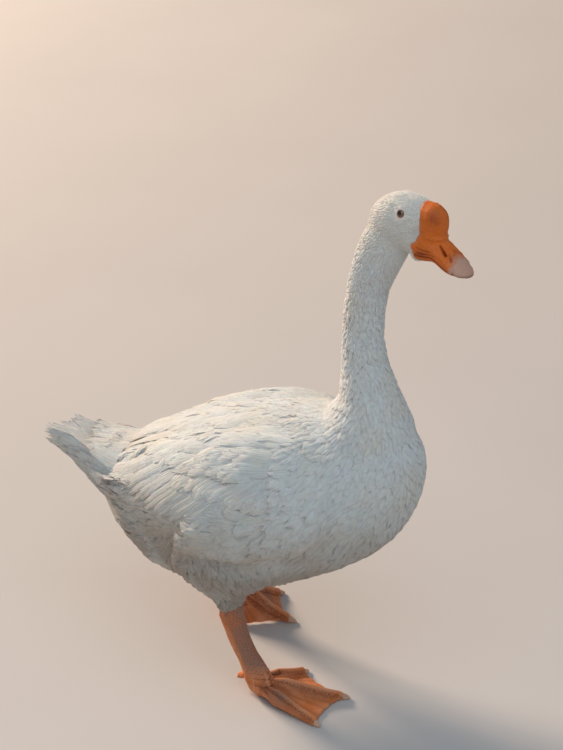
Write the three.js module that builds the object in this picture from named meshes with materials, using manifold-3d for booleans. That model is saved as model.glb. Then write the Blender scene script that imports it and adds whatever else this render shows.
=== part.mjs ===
// A white domestic goose of the knobbed Chinese type, life size, standing in mid stride.
// Millimetres, +Z up. The bird faces -Y with its left side on +X, and z = 0 is the floor.
// Places are given as forward (towards the breast), left and height.

import * as THREE from 'three';
import { mergeVertices } from 'three/addons/utils/BufferGeometryUtils.js';
import Module from 'manifold-3d';

const wasm = await Module();
wasm.setup();

// ---------------------------------------------------------------- driving dimensions

const GAP = 0.3; // clearance between neighbouring pieces
const FAR = 2000; // side of the blocks that part one piece from the next

// Each station of a body is its middle, with the half width and half depth there.
const TRUNK = {
  around: 24,
  along: 16,
  upright: true,
  stations: [
    { forward: -178, height: 184, wide: 0, deep: 0 },
    { forward: -146, height: 181, wide: 44, deep: 54 },
    { forward: -100, height: 180, wide: 72, deep: 82 },
    { forward: -45, height: 193, wide: 84, deep: 96 },
    { forward: 10, height: 207, wide: 87, deep: 98 },
    { forward: 60, height: 219, wide: 84, deep: 93 },
    { forward: 110, height: 235, wide: 70, deep: 79 },
    { forward: 146, height: 247, wide: 46, deep: 54 },
    { forward: 163, height: 253, wide: 0, deep: 0 },
  ],
};

const NECK = {
  around: 20,
  along: 20,
  stations: [
    { forward: 50, height: 196, wide: 0, deep: 0 },
    { forward: 78, height: 240, wide: 56, deep: 58 },
    { forward: 103, height: 286, wide: 50, deep: 54 },
    { forward: 106, height: 330, wide: 30, deep: 31.5 },
    { forward: 99, height: 372, wide: 21.5, deep: 21.5 },
    { forward: 98, height: 412, wide: 19, deep: 19.5 },
    { forward: 103, height: 450, wide: 19.5, deep: 20 },
    { forward: 115, height: 484, wide: 21, deep: 23 },
    { forward: 126, height: 506, wide: 18, deep: 20 },
    { forward: 136, height: 518, wide: 0, deep: 0 },
  ],
};

// Planes that part the lengths of the neck: a point on each, and its lean forward in degrees.
const NECK_CUTS = [
  { forward: 99, height: 322, lean: 18 },
  { forward: 100, height: 392, lean: 0 },
  { forward: 103, height: 448, lean: 12 },
  { forward: 118, height: 485, lean: 38 },
];

// The head is shaped level and facing forward, then placed by its middle and turned.
const HEAD = {
  forward: 134,
  height: 513,
  turn: 20, // towards the bird's right
  nod: 4, // bill down
  around: 20,
  along: 11,
  upright: true,
  square: 2.3, // cheeks and crown a little flatter than an ellipse
  stations: [
    { forward: -35, height: -10, wide: 0, deep: 0 },
    { forward: -26, height: -7, wide: 18, deep: 22 },
    { forward: -8, height: 0, wide: 23.5, deep: 26 },
    { forward: 8, height: 1, wide: 21.5, deep: 25.5 },
    { forward: 21, height: 0, wide: 17, deep: 23.5 },
    { forward: 34, height: -2, wide: 0, deep: 0 },
  ],
  face: { forward: 21, height: 0, lean: 97 }, // where feathers give way to the bill
};

const EYE = { forward: 7, left: 13.4, height: 13.5, radius: 6.4, around: 12, along: 8 };

// The mandibles meet on a plane through the gape that drops towards the tip.
const BILL = {
  around: 18,
  along: 11,
  gape: { forward: 14, height: -19 },
  droop: 8,
  upper: [
    { reach: -2, wide: 0, deep: 0 },
    { reach: 5, wide: 15.5, deep: 30 },
    { reach: 24, wide: 14.2, deep: 22.5 },
    { reach: 40, wide: 13, deep: 14 },
    { reach: 54, wide: 12, deep: 8 },
    { reach: 63, wide: 0, deep: 0 },
  ],
  lower: [
    { reach: -2, wide: 0, deep: 0 },
    { reach: 6, wide: 14, deep: 8 },
    { reach: 30, wide: 12.5, deep: 6.5 },
    { reach: 50, wide: 11, deep: 4 },
    { reach: 61, wide: 0, deep: 0 },
  ],
  nailCut: 49,
  knob: { forward: 29, height: 9, long: 17, wide: 13, deep: 18, around: 16, along: 12 },
  knobCut: { forward: 36, height: 3, lean: 40 },
};

// Wing, shaped for the left side and mirrored for the right.
const WING = {
  around: 20,
  along: 14,
  upright: true,
  lean: -24, // top towards the spine, degrees
  stations: [
    { forward: 100, left: 48, height: 244, wide: 0, deep: 0 },
    { forward: 84, left: 58, height: 242, wide: 26, deep: 42 },
    { forward: 44, left: 63, height: 242, wide: 33, deep: 60 },
    { forward: -6, left: 63, height: 238, wide: 34, deep: 64 },
    { forward: -56, left: 56, height: 226, wide: 32, deep: 58 },
    { forward: -106, left: 44, height: 214, wide: 26, deep: 45 },
    { forward: -142, left: 32, height: 208, wide: 18, deep: 30 },
    { forward: -162, left: 26, height: 206, wide: 0, deep: 0 },
  ],
  cuts: [
    { forward: -92, height: 216, lean: 60 },
    { forward: 6, height: 240, lean: 60 },
  ],
  tip: {
    count: 3,
    root: { forward: -80, left: 64, height: 230 },
    step: 8, // each feather lies this much below the one before it
    direction: { forward: -1, left: -0.2, height: -0.2 },
    fall: 0.03, // and points down by this much more
    length: 90,
    shorter: 6, // and is this much shorter
    wide: 10,
    deep: 2.6,
  },
};

const TAIL = {
  around: 18,
  along: 9,
  upright: true,
  stations: [
    { forward: -120, height: 192, wide: 0, deep: 0 },
    { forward: -150, height: 198, wide: 44, deep: 38 },
    { forward: -182, height: 212, wide: 36, deep: 27 },
    { forward: -206, height: 225, wide: 28, deep: 13 },
    { forward: -220, height: 233, wide: 0, deep: 0 },
  ],
  cut: { forward: -160, height: 194, lean: 74 },
  blades: 9,
  spread: 3.5, // degrees from one feather to the next
  root: { forward: -156, height: 208 },
  across: 24, // half the width over which the roots stand
  rise: 12, // degrees above level
  length: 80,
  rounding: 0.16, // how much shorter the outermost feathers are, as a share
  wide: 11,
  deep: 2.2,
  dish: 8, // the outer feathers stand higher than the middle ones
};

// The outline of one long feather: shares of its length, and of its full width there.
const FEATHER = { around: 6, along: 5, at: [0, 0.12, 0.55, 0.88, 1], full: [0, 0.7, 1, 0.9, 0] };

// Legs. Toe directions are in degrees from straight ahead, towards the bird's left positive.
const LEGS = [
  {
    name: 'right',
    thigh: { forward: -22, left: -50, height: 152 },
    hock: { forward: -13, left: -60, height: 102 },
    ankle: { forward: 17, left: -56, height: 15 },
    toes: { inner: 58, middle: 16, outer: -21 },
    hindToe: { turn: 170, drop: 10 },
  },
  {
    name: 'left',
    thigh: { forward: -36, left: 50, height: 154 },
    hock: { forward: -50, left: 64, height: 128 },
    ankle: { forward: -72, left: 70, height: 46 },
    toes: { inner: -52, middle: 0, outer: 44 },
    hindToe: { turn: -165, drop: 12 },
  },
];

const THIGH = {
  around: 14,
  along: 9,
  wide: 34,
  deep: 58,
  inside: 40, // how far its upper end lies inside the trunk
  rim: { share: 0.72, wide: 18, deep: 20 }, // where the feathers draw in towards the cuff
  cuff: 14,
  below: 20,
};

// The bare shank: shares of the way from hock to ankle, and its radius there.
const SHANK = {
  around: 11,
  along: 8,
  at: [0, 0.1, 0.45, 0.85, 1, 1.2],
  radii: [10.8, 13.5, 10, 13.5, 15, 0],
  flat: 0.8, // its width as a share of its depth
  cut: 12, // height above the ankle where the foot begins
};

const TOE = {
  around: 7,
  along: 6,
  at: [0, 0.2, 0.5, 0.8, 1],
  full: [0, 1.25, 1, 0.9, 0.72, 0], // the last is the claw's point
  tipHeight: 0.55, // in thicknesses, so that the floor cuts a flat under the tip
  knuckle: 0.4, // shares of the way out where the toe bends and where it comes down
  pad: 0.78,
  nailDrop: 0.5,
};
const TOES = {
  inner: { length: 56, thick: 5.6, claw: 7, apart: 7 },
  middle: { length: 83, thick: 6.2, claw: 9, apart: 0 },
  outer: { length: 74, thick: 5.8, claw: 7, apart: 8 },
};
const HIND_TOE = { length: 17, thick: 4.4, claw: 6, height: 8, back: 8 };
const WEB = { across: 3, out: 2, from: 0.14, reach: 1, sag: 0.08, thick: 2.2, drop: 1.5, clear: 0.5 };

// ---------------------------------------------------------------- finishes

const FINISH = {
  feathers: { color: 0xe9e4dc, roughness: 0.9, metalness: 0 },
  bill: { color: 0xc8601f, roughness: 0.5, metalness: 0 },
  nail: { color: 0xd0a68f, roughness: 0.5, metalness: 0 },
  eye: { color: 0x2b1a10, roughness: 0.1, metalness: 0 },
  legs: { color: 0xb9622f, roughness: 0.65, metalness: 0 },
  claws: { color: 0xb48a6c, roughness: 0.5, metalness: 0 },
};

// ---------------------------------------------------------------- making shapes

const radians = THREE.MathUtils.degToRad;
const UP = new THREE.Vector3(0, 0, 1);

/** A point of the bird from its distance forward, to its left and up. */
function place({ forward = 0, left = 0, height = 0 }) {
  return new THREE.Vector3(left, -forward, height);
}

/** The place that is some share of the way from one place to another. */
function between(start, end, share) {
  const mix = (name) => THREE.MathUtils.lerp(start[name], end[name], share);
  return { forward: mix('forward'), left: mix('left'), height: mix('height') };
}

/** A station of a body at a point, with its half width and half depth. */
function station(spot, wide, deep) {
  return { forward: -spot.y, left: spot.x, height: spot.z, wide, deep };
}

/** A level direction from its turn to the bird's left of straight ahead, in degrees. */
function heading(turn) {
  return { forward: Math.cos(radians(turn)), left: Math.sin(radians(turn)) };
}

/** A direction that leans forward from upright by some degrees. */
function leaning(degrees) {
  return place({ forward: Math.sin(radians(degrees)), height: Math.cos(radians(degrees)) });
}

/** The signed volume of a closed mesh, times six; negative when its faces point inwards. */
function signedVolume(geometry) {
  const spots = geometry.attributes.position;
  const corners = geometry.index.array;
  const [a, b, c] = [new THREE.Vector3(), new THREE.Vector3(), new THREE.Vector3()];
  let sum = 0;
  for (let i = 0; i < corners.length; i += 3) {
    a.fromBufferAttribute(spots, corners[i]);
    b.fromBufferAttribute(spots, corners[i + 1]);
    c.fromBufferAttribute(spots, corners[i + 2]);
    sum += a.dot(b.cross(c));
  }
  return sum;
}

/** A geometry as a solid that can be joined and cut. */
function solid(geometry) {
  geometry.deleteAttribute('normal');
  geometry.deleteAttribute('uv');
  const merged = mergeVertices(geometry, 1e-4);
  const triVerts = Uint32Array.from(merged.index.array);
  if (signedVolume(merged) < 0) {
    triVerts.reverse();
  }
  const vertProperties = Float32Array.from(merged.attributes.position.array);
  return new wasm.Manifold(new wasm.Mesh({ numProp: 3, vertProperties, triVerts }));
}

/** A sine or cosine pushed outwards, so that a power above 2 makes a rounder-cornered section. */
function squared(value, power) {
  return Math.sign(value) * Math.abs(value) ** (2 / power);
}

/**
 * A closed rounded body through stations. A sphere's rings are laid along the line of middles
 * and stretched to each station's half width and half depth. Their squares are blended, so a
 * body whose last station has no size ends round. Rings stand upright or across the line, and
 * lean turns them about it. Grow makes the whole body larger all round.
 */
function loft({ stations, around, along, upright = false, lean = 0, square = 2 }, grow = 0) {
  const middle = new THREE.CatmullRomCurve3(stations.map(place));
  const squares = stations.map(({ wide, deep }) => new THREE.Vector3(wide * wide, deep * deep, 0));
  const girth = new THREE.CatmullRomCurve3(squares);
  const shape = new THREE.SphereGeometry(1, around, along);
  const spots = shape.attributes.position;
  const spot = new THREE.Vector3();
  const side = new THREE.Vector3();
  const upward = new THREE.Vector3();
  for (let i = 0; i < spots.count; i += 1) {
    spot.fromBufferAttribute(spots, i);
    const reach = THREE.MathUtils.clamp((1 - spot.y) / 2, 0, 1);
    const pole = Math.hypot(spot.x, spot.z) < 1e-6;
    const turn = Math.atan2(spot.z, spot.x);
    const ahead = middle.getTangent(reach);
    const across = upright ? place({ forward: Math.sign(-ahead.y) }) : ahead;
    side.set(1, 0, 0).addScaledVector(across, -across.x).normalize();
    side.applyAxisAngle(across, radians(lean));
    upward.crossVectors(across, side);
    const sizes = girth.getPoint(reach);
    const wide = pole ? 0 : Math.sqrt(Math.max(sizes.x, 0)) + grow;
    const deep = pole ? 0 : Math.sqrt(Math.max(sizes.y, 0)) + grow;
    spot.copy(middle.getPoint(reach)).addScaledVector(ahead, -grow * Math.cos(Math.PI * reach));
    spot.addScaledVector(side, wide * squared(Math.cos(turn), square));
    spot.addScaledVector(upward, deep * squared(Math.sin(turn), square));
    spots.setXYZ(i, spot.x, spot.y, spot.z);
  }
  return solid(shape);
}

/** Everything beyond a plane through a point, as one large block; gap moves it off the plane. */
function beyond(point, normal, gap = GAP / 2) {
  const shape = new THREE.BoxGeometry(FAR, FAR, FAR);
  shape.applyQuaternion(new THREE.Quaternion().setFromUnitVectors(UP, normal));
  const middle = point.clone().addScaledVector(normal, FAR / 2 + gap);
  shape.translate(middle.x, middle.y, middle.z);
  return solid(shape);
}

/** The two sides of a solid that a plane parts: what lies beyond it, then what lies before it. */
function parted(whole, point, normal) {
  const back = normal.clone().negate();
  return [whole.intersect(beyond(point, normal)), whole.intersect(beyond(point, back))];
}

/** What is left of a solid above the floor. */
function aboveFloor(whole) {
  return whole.intersect(beyond(new THREE.Vector3(), UP, 0));
}

/** All of some solids as one. */
function joined(...solids) {
  return solids.reduce((whole, next) => whole.add(next));
}

/** A solid moved by a matrix. */
function moved(whole, pose) {
  return whole.transform(pose.elements);
}

/** A solid's mirror image on the other side of the bird. */
function mirrored(whole) {
  return moved(whole, new THREE.Matrix4().makeScale(-1, 1, 1));
}

// ---------------------------------------------------------------- the bird

const bird = new THREE.Group();

/** Adds a solid to the bird as a named piece with its finish. */
function piece(name, whole, finish) {
  const { vertProperties, triVerts } = whole.getMesh();
  const geometry = new THREE.BufferGeometry();
  geometry.setAttribute('position', new THREE.BufferAttribute(vertProperties, 3));
  geometry.setIndex(new THREE.BufferAttribute(triVerts, 1));
  geometry.computeVertexNormals();
  const mesh = new THREE.Mesh(geometry, new THREE.MeshStandardMaterial(FINISH[finish]));
  mesh.name = name;
  bird.add(mesh);
}

/** The matrix that sets the head on the neck. */
function headPose() {
  const { x, y, z } = place(HEAD);
  const pose = new THREE.Matrix4().makeTranslation(x, y, z);
  pose.multiply(new THREE.Matrix4().makeRotationZ(radians(-HEAD.turn)));
  pose.multiply(new THREE.Matrix4().makeRotationX(radians(HEAD.nod)));
  return pose;
}

/** An eyeball in the head's own frame. */
function eyeball(side, grow = 0) {
  const shape = new THREE.SphereGeometry(EYE.radius + grow, EYE.around, EYE.along);
  const { x, y, z } = place({ ...EYE, left: side * EYE.left });
  shape.translate(x, y, z);
  return solid(shape);
}

/** The direction along the bill, which drops from the gape to the tip, and the one across it. */
function billAxes() {
  const along = place({ forward: Math.cos(radians(BILL.droop)), height: -Math.sin(radians(BILL.droop)) });
  const up = leaning(BILL.droop);
  return { along, up };
}

/** One mandible, lying on the mouth's plane and cut along it. */
function mandible(rows, upwards) {
  const { along, up } = billAxes();
  const gape = place(BILL.gape);
  const stations = rows.map(({ reach, wide, deep }) => (
    station(gape.clone().addScaledVector(along, reach), wide, deep)
  ));
  const whole = loft({ stations, around: BILL.around, along: BILL.along });
  return whole.intersect(beyond(gape, upwards ? up : up.negate()));
}

/** The whole of the knob over the bill's root. */
function knobSolid() {
  const { wide, long, deep, around, along } = BILL.knob;
  const shape = new THREE.SphereGeometry(1, around, along);
  const { x, y, z } = place(BILL.knob);
  shape.scale(wide, long, deep);
  shape.translate(x, y, z);
  return solid(shape);
}

/** Adds the bill and the eyes, and gives back the feathered head that joins the neck. */
function buildHead() {
  const pose = headPose();
  const { along } = billAxes();
  const face = [place(HEAD.face), leaning(HEAD.face.lean)];
  const upper = joined(mandible(BILL.upper, true), knobSolid()).intersect(beyond(...face));
  const [knobPart, bill] = parted(upper, place(BILL.knobCut), leaning(-BILL.knobCut.lean));
  const nailPoint = place(BILL.gape).addScaledVector(along, BILL.nailCut);
  const [nail, billUpper] = parted(bill, nailPoint, along);
  const billLower = mandible(BILL.lower, false).intersect(beyond(...face));
  piece('bill_knob', moved(knobPart, pose), 'bill');
  piece('bill_upper', moved(billUpper, pose), 'bill');
  piece('bill_nail', moved(nail, pose), 'nail');
  piece('bill_lower', moved(billLower, pose), 'bill');
  piece('eye_left', moved(eyeball(1), pose), 'eye');
  piece('eye_right', moved(eyeball(-1), pose), 'eye');
  const front = beyond(face[0], face[1], -GAP / 2);
  const skull = loft(HEAD).subtract(front).subtract(eyeball(1, GAP)).subtract(eyeball(-1, GAP));
  return moved(skull, pose);
}

/** One long flight or tail feather, flat and round ended, from its root along a direction. */
function feather(root, direction, { length, wide, deep }) {
  const stations = FEATHER.at.map((share, i) => {
    const spot = root.clone().addScaledVector(direction, share * length);
    return station(spot, FEATHER.full[i] * wide, FEATHER.full[i] * deep);
  });
  return loft({ ...FEATHER, stations });
}

/** The fan of tail feathers, a little dished. */
function tailFan() {
  const feathers = [];
  for (let i = 0; i < TAIL.blades; i += 1) {
    const outward = (2 * i - TAIL.blades + 1) / TAIL.blades; // from -1 to 1 across the fan
    const turn = outward * TAIL.spread * TAIL.blades / 2;
    const height = TAIL.root.height + TAIL.dish * outward ** 2;
    const root = place({ ...TAIL.root, left: outward * TAIL.across, height });
    const direction = place({
      forward: -Math.cos(radians(turn)) * Math.cos(radians(TAIL.rise)),
      left: Math.sin(radians(turn)),
      height: Math.sin(radians(TAIL.rise)),
    });
    const length = TAIL.length * (1 - TAIL.rounding * outward ** 2);
    feathers.push(feather(root, direction.normalize(), { ...TAIL, length }));
  }
  return joined(...feathers);
}

/** The trunk, neck, head and tail: one body, parted by thin cuts, and the tail's feathers. */
function buildBody() {
  const whole = joined(loft(TRUNK), loft(TAIL), loft(NECK), buildHead());
  let rest = whole;
  const lengths = NECK_CUTS.map((cut) => {
    const [above, below] = parted(rest, place(cut), leaning(cut.lean));
    rest = above;
    return below;
  });
  const [tailBase, trunk] = parted(lengths[0], place(TAIL.cut), leaning(-TAIL.cut.lean));
  piece('trunk', trunk, 'feathers');
  piece('tail_base', tailBase, 'feathers');
  piece('neck_lower', lengths[1], 'feathers');
  piece('neck_middle', lengths[2], 'feathers');
  piece('neck_upper', lengths[3], 'feathers');
  piece('head', rest, 'feathers');
  piece('tail_fan', tailFan().subtract(loft(TAIL, GAP)).subtract(loft(TRUNK, GAP)), 'feathers');
}

/** A wing's tip: long feathers one above the other, running back over the tail's root. */
function wingTip() {
  const { count, root, step, direction, fall, length, shorter } = WING.tip;
  const feathers = [];
  for (let i = 0; i < count; i += 1) {
    const start = place({ ...root, height: root.height - i * step });
    const lie = place({ ...direction, height: direction.height - i * fall }).normalize();
    feathers.push(feather(start, lie, { ...WING.tip, length: length - i * shorter }));
  }
  return joined(...feathers);
}

/** Both wings, folded against the trunk and parted into shoulder, flight feathers and tip. */
function buildWings() {
  const under = joined(loft(TRUNK, GAP), loft(NECK, GAP), loft(TAIL, GAP));
  const wing = joined(loft(WING), wingTip()).subtract(under);
  const [front, flight] = parted(wing, place(WING.cuts[1]), leaning(WING.cuts[1].lean));
  const [middle, tip] = parted(flight, place(WING.cuts[0]), leaning(WING.cuts[0].lean));
  const parts = { shoulder: front, flight: middle, tip };
  for (const [part, whole] of Object.entries(parts)) {
    piece(`wing_${part}_left`, whole, 'feathers');
    piece(`wing_${part}_right`, mirrored(whole), 'feathers');
  }
}

/** The line of a toe's middle, from beside the ankle to its tip on the floor. */
function toeLine(ankle, turn, { length, thick, apart }) {
  const ahead = heading(turn);
  const outward = Math.sign(turn) * apart;
  const low = thick * TOE.tipHeight;
  const flat = Math.sqrt(length ** 2 - (ankle.height - low) ** 2);
  const start = { ...ankle, left: ankle.left + outward };
  const tip = {
    forward: ankle.forward + flat * ahead.forward,
    left: ankle.left + flat * ahead.left,
    height: low,
  };
  const knuckle = { ...between(start, tip, TOE.knuckle), height: (ankle.height + thick) / 2 };
  const pad = { ...between(start, tip, TOE.pad), height: low };
  return new THREE.CubicBezierCurve3(place(start), place(knuckle), place(pad), place(tip));
}

/** One toe, its claw, and the room that the claw needs, parted at the claw's root. */
function toeAndClaw(line, { thick, claw }) {
  const end = line.getPoint(1);
  const ahead = line.getTangent(1);
  const point = end.clone().addScaledVector(ahead, claw);
  point.z = Math.max(end.z - TOE.nailDrop * thick, 1);
  const places = TOE.at.map((share) => line.getPoint(share)).concat(point);
  const stations = places.map((spot, i) => station(spot, TOE.full[i] * thick, TOE.full[i] * thick));
  const sizes = { ...TOE, stations };
  const [nail, digit] = parted(aboveFloor(loft(sizes)), end, ahead);
  const room = loft(sizes, GAP).intersect(beyond(end, ahead, -GAP / 2));
  return { nail, digit, room };
}

/** The small toe behind the foot, which hangs clear of the floor. */
function hindToeLine({ ankle, hindToe }) {
  const out = place(heading(hindToe.turn));
  const start = place({ ...ankle, height: ankle.height + HIND_TOE.height });
  const tip = start.clone().addScaledVector(out, HIND_TOE.back + HIND_TOE.length);
  tip.z -= hindToe.drop;
  const bend = start.clone().addScaledVector(out, HIND_TOE.back + TOE.knuckle * HIND_TOE.length);
  return new THREE.QuadraticBezierCurve3(start, bend, tip);
}

/** The skin between two toes: a thin sheet with a hollow free edge. */
function web(lineA, lineB) {
  const shape = new THREE.BoxGeometry(1, 1, 1, WEB.across, WEB.out, 1);
  const spots = shape.attributes.position;
  const a = new THREE.Vector3();
  const b = new THREE.Vector3();
  for (let i = 0; i < spots.count; i += 1) {
    const across = spots.getX(i) + 0.5;
    const out = spots.getY(i) + 0.5;
    const edge = WEB.reach - WEB.sag * Math.sin(Math.PI * across);
    const reach = WEB.from + out * (edge - WEB.from);
    lineA.getPoint(reach, a);
    lineB.getPoint(reach, b);
    a.lerp(b, across);
    const low = WEB.thick / 2 + WEB.clear;
    a.z = Math.max(a.z - WEB.drop, low) + spots.getZ(i) * WEB.thick;
    spots.setXYZ(i, a.x, a.y, a.z);
  }
  return solid(shape);
}

/** The feathered thigh down to the cuff round the hock. */
function buildThigh(name, thigh, hock, shankAxis) {
  const { wide, deep, inside, rim, cuff, below } = THIGH;
  const stations = [
    { ...thigh, height: thigh.height + inside, wide: 0, deep: 0 },
    { ...thigh, wide, deep },
    { ...between(thigh, hock, rim.share), wide: rim.wide, deep: rim.deep },
    { ...hock, wide: cuff, deep: cuff },
    { ...hock, height: hock.height - below, wide: 0, deep: 0 },
  ];
  const whole = loft({ ...THIGH, stations });
  const body = joined(loft(TRUNK, GAP), loft(TAIL, GAP));
  piece(`thigh_${name}`, whole.subtract(body).intersect(beyond(place(hock), shankAxis)), 'feathers');
}

/** The bare shank, thick at the hock and ankle and slim between. */
function shankSolid(hock, ankle) {
  const stations = SHANK.at.map((share, i) => {
    const spot = place(hock).lerp(place(ankle), share);
    return station(spot, SHANK.radii[i] * SHANK.flat, SHANK.radii[i]);
  });
  return loft({ ...SHANK, stations });
}

/** One leg: its thigh, shank, webbed foot and claws. */
function buildLeg(leg) {
  const { name, thigh, hock, ankle, toes } = leg;
  const shankAxis = place(hock).sub(place(ankle)).normalize();
  buildThigh(name, thigh, hock, shankAxis);
  const lines = {};
  const digits = [];
  const rooms = [];
  for (const [toe, turn] of Object.entries(toes)) {
    lines[toe] = toeLine(ankle, turn, TOES[toe]);
    const { nail, digit, room } = toeAndClaw(lines[toe], TOES[toe]);
    piece(`claw_${toe}_${name}`, nail, 'claws');
    digits.push(digit);
    rooms.push(room);
  }
  const hind = toeAndClaw(hindToeLine(leg), HIND_TOE);
  piece(`claw_hind_${name}`, hind.nail, 'claws');
  const webs = [web(lines.inner, lines.middle), web(lines.middle, lines.outer)];
  const under = joined(loft(TRUNK, GAP), loft(TAIL, GAP), hind.room, ...rooms);
  const limb = aboveFloor(joined(shankSolid(hock, ankle), hind.digit, ...digits, ...webs)).subtract(under);
  const cut = place(ankle).addScaledVector(shankAxis, SHANK.cut);
  const [upper, foot] = parted(limb, cut, shankAxis);
  piece(`shank_${name}`, upper.subtract(beyond(place(hock), shankAxis, -GAP / 2)), 'legs');
  piece(`foot_${name}`, foot, 'legs');
}

buildBody();
buildWings();
LEGS.forEach(buildLeg);

// The origin is on the floor, under the middle of the whole bird's box.
const box = new THREE.Box3().setFromObject(bird);
const centre = box.getCenter(new THREE.Vector3());
bird.position.set(-centre.x, -centre.y, 0);
const goose = new THREE.Group().add(bird);

export default goose;
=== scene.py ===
"""The looks of a life-size white domestic goose with a knobbed bill, walking.

One skin takes the place of all the feathered nodes and lies inside them by the coat's depth. Over it
grow closed, thin feathers: short tufts on the head and neck, rounded vanes on the body, long vanes on
the wings and tail. The bill, nail, eyes, legs and claws are pieces of their own. Blender holds metres;
sizes in this file are millimetres unless a name says otherwise, and MM turns one into the other. Places
are (left, forward, height): left of the bird's middle plane, forward from the frame's origin, and up.
"""

import logging
import math
from dataclasses import dataclass, replace
from enum import Enum
from typing import Callable, ClassVar, Optional, Sequence, Union

import bpy
import numpy as np
from mathutils import Matrix, Vector
from mathutils.bvhtree import BVHTree
from mathutils.kdtree import KDTree

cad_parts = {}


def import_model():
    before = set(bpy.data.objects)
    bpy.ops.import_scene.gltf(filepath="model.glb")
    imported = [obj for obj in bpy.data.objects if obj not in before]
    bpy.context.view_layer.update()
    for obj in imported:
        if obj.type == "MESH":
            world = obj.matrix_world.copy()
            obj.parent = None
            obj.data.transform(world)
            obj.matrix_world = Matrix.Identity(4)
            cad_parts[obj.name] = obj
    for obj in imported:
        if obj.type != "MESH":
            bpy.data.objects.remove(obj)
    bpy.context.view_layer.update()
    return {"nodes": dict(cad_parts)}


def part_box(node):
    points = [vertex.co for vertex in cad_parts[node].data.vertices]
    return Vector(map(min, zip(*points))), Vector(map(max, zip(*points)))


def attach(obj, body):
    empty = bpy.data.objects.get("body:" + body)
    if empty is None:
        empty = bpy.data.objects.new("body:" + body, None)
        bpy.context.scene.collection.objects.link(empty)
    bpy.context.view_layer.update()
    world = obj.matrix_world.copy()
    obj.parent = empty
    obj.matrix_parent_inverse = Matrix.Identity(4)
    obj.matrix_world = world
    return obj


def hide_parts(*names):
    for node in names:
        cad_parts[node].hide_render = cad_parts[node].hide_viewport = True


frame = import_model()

MM = 0.001
PLAN = (1, 1, 0)  # keeps x and y of a place, for distances as seen from above
LEG_SEED = 20
COAT_SEEDS = (7, 8, 9)
LOG = logging.getLogger("goose")
Array = np.ndarray
Chance = np.random.Generator
Material = bpy.types.Material
Thing = bpy.types.Object
Colour = tuple[float, float, float, float]
Triple = tuple[float, float, float]
Pair = tuple[float, float]
Bend = tuple[Pair, ...]  # corners of a bent line
Columns = tuple[Array, ...]
Reading = Union[float, Array]


class Side(Enum):
    """A side of the bird, as the sign of its distance to the left."""

    LEFT = 1
    RIGHT = -1

    @property
    def word(self) -> str:
        """The side as CAD nodes name it."""
        return self.name.lower()


# ---------------------------------------------------------------- shader maths


def operator(operation: str, swapped: bool = False) -> Callable[["Signal", "Term"], "Signal"]:
    """A Python operator of signals that makes a Math node.

    Args:
        operation: the node's operation.
        swapped: whether the other term comes first.

    Returns:
        The operator, as a method.
    """

    def method(self: "Signal", other: "Term") -> "Signal":
        """The operation on a signal and another term."""
        return self.maths(operation, *((other, self) if swapped else (self, other)))

    return method


class Signal:
    """A shader socket that takes part in Python expressions."""

    def __init__(self, shader: "Shader", socket: bpy.types.NodeSocket) -> None:
        """Holds a socket of a shader."""
        self.shader = shader
        self.socket = socket

    def maths(self, operation: str, *terms: "Term") -> "Signal":
        """A Math node on some terms."""
        return self.shader.node("ShaderNodeMath", {"operation": operation}, dict(enumerate(terms)))

    __add__ = operator("ADD")
    __sub__ = operator("SUBTRACT")
    __rsub__ = operator("SUBTRACT", swapped=True)
    __mul__ = operator("MULTIPLY")

    def __abs__(self) -> "Signal":
        """Size without sign."""
        return self.maths("ABSOLUTE", self)

    def wave(self) -> "Signal":
        """Sine."""
        return self.maths("SINE", self)

    def between(self, low: float, high: float) -> "Signal":
        """A smooth step from 0 at low to 1 at high; high may be the lower number."""
        inputs = {"Value": self, "From Min": low, "From Max": high}
        return self.shader.node("ShaderNodeMapRange", {"interpolation_type": "SMOOTHSTEP"}, inputs)


Term = Union[Signal, float]


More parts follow.
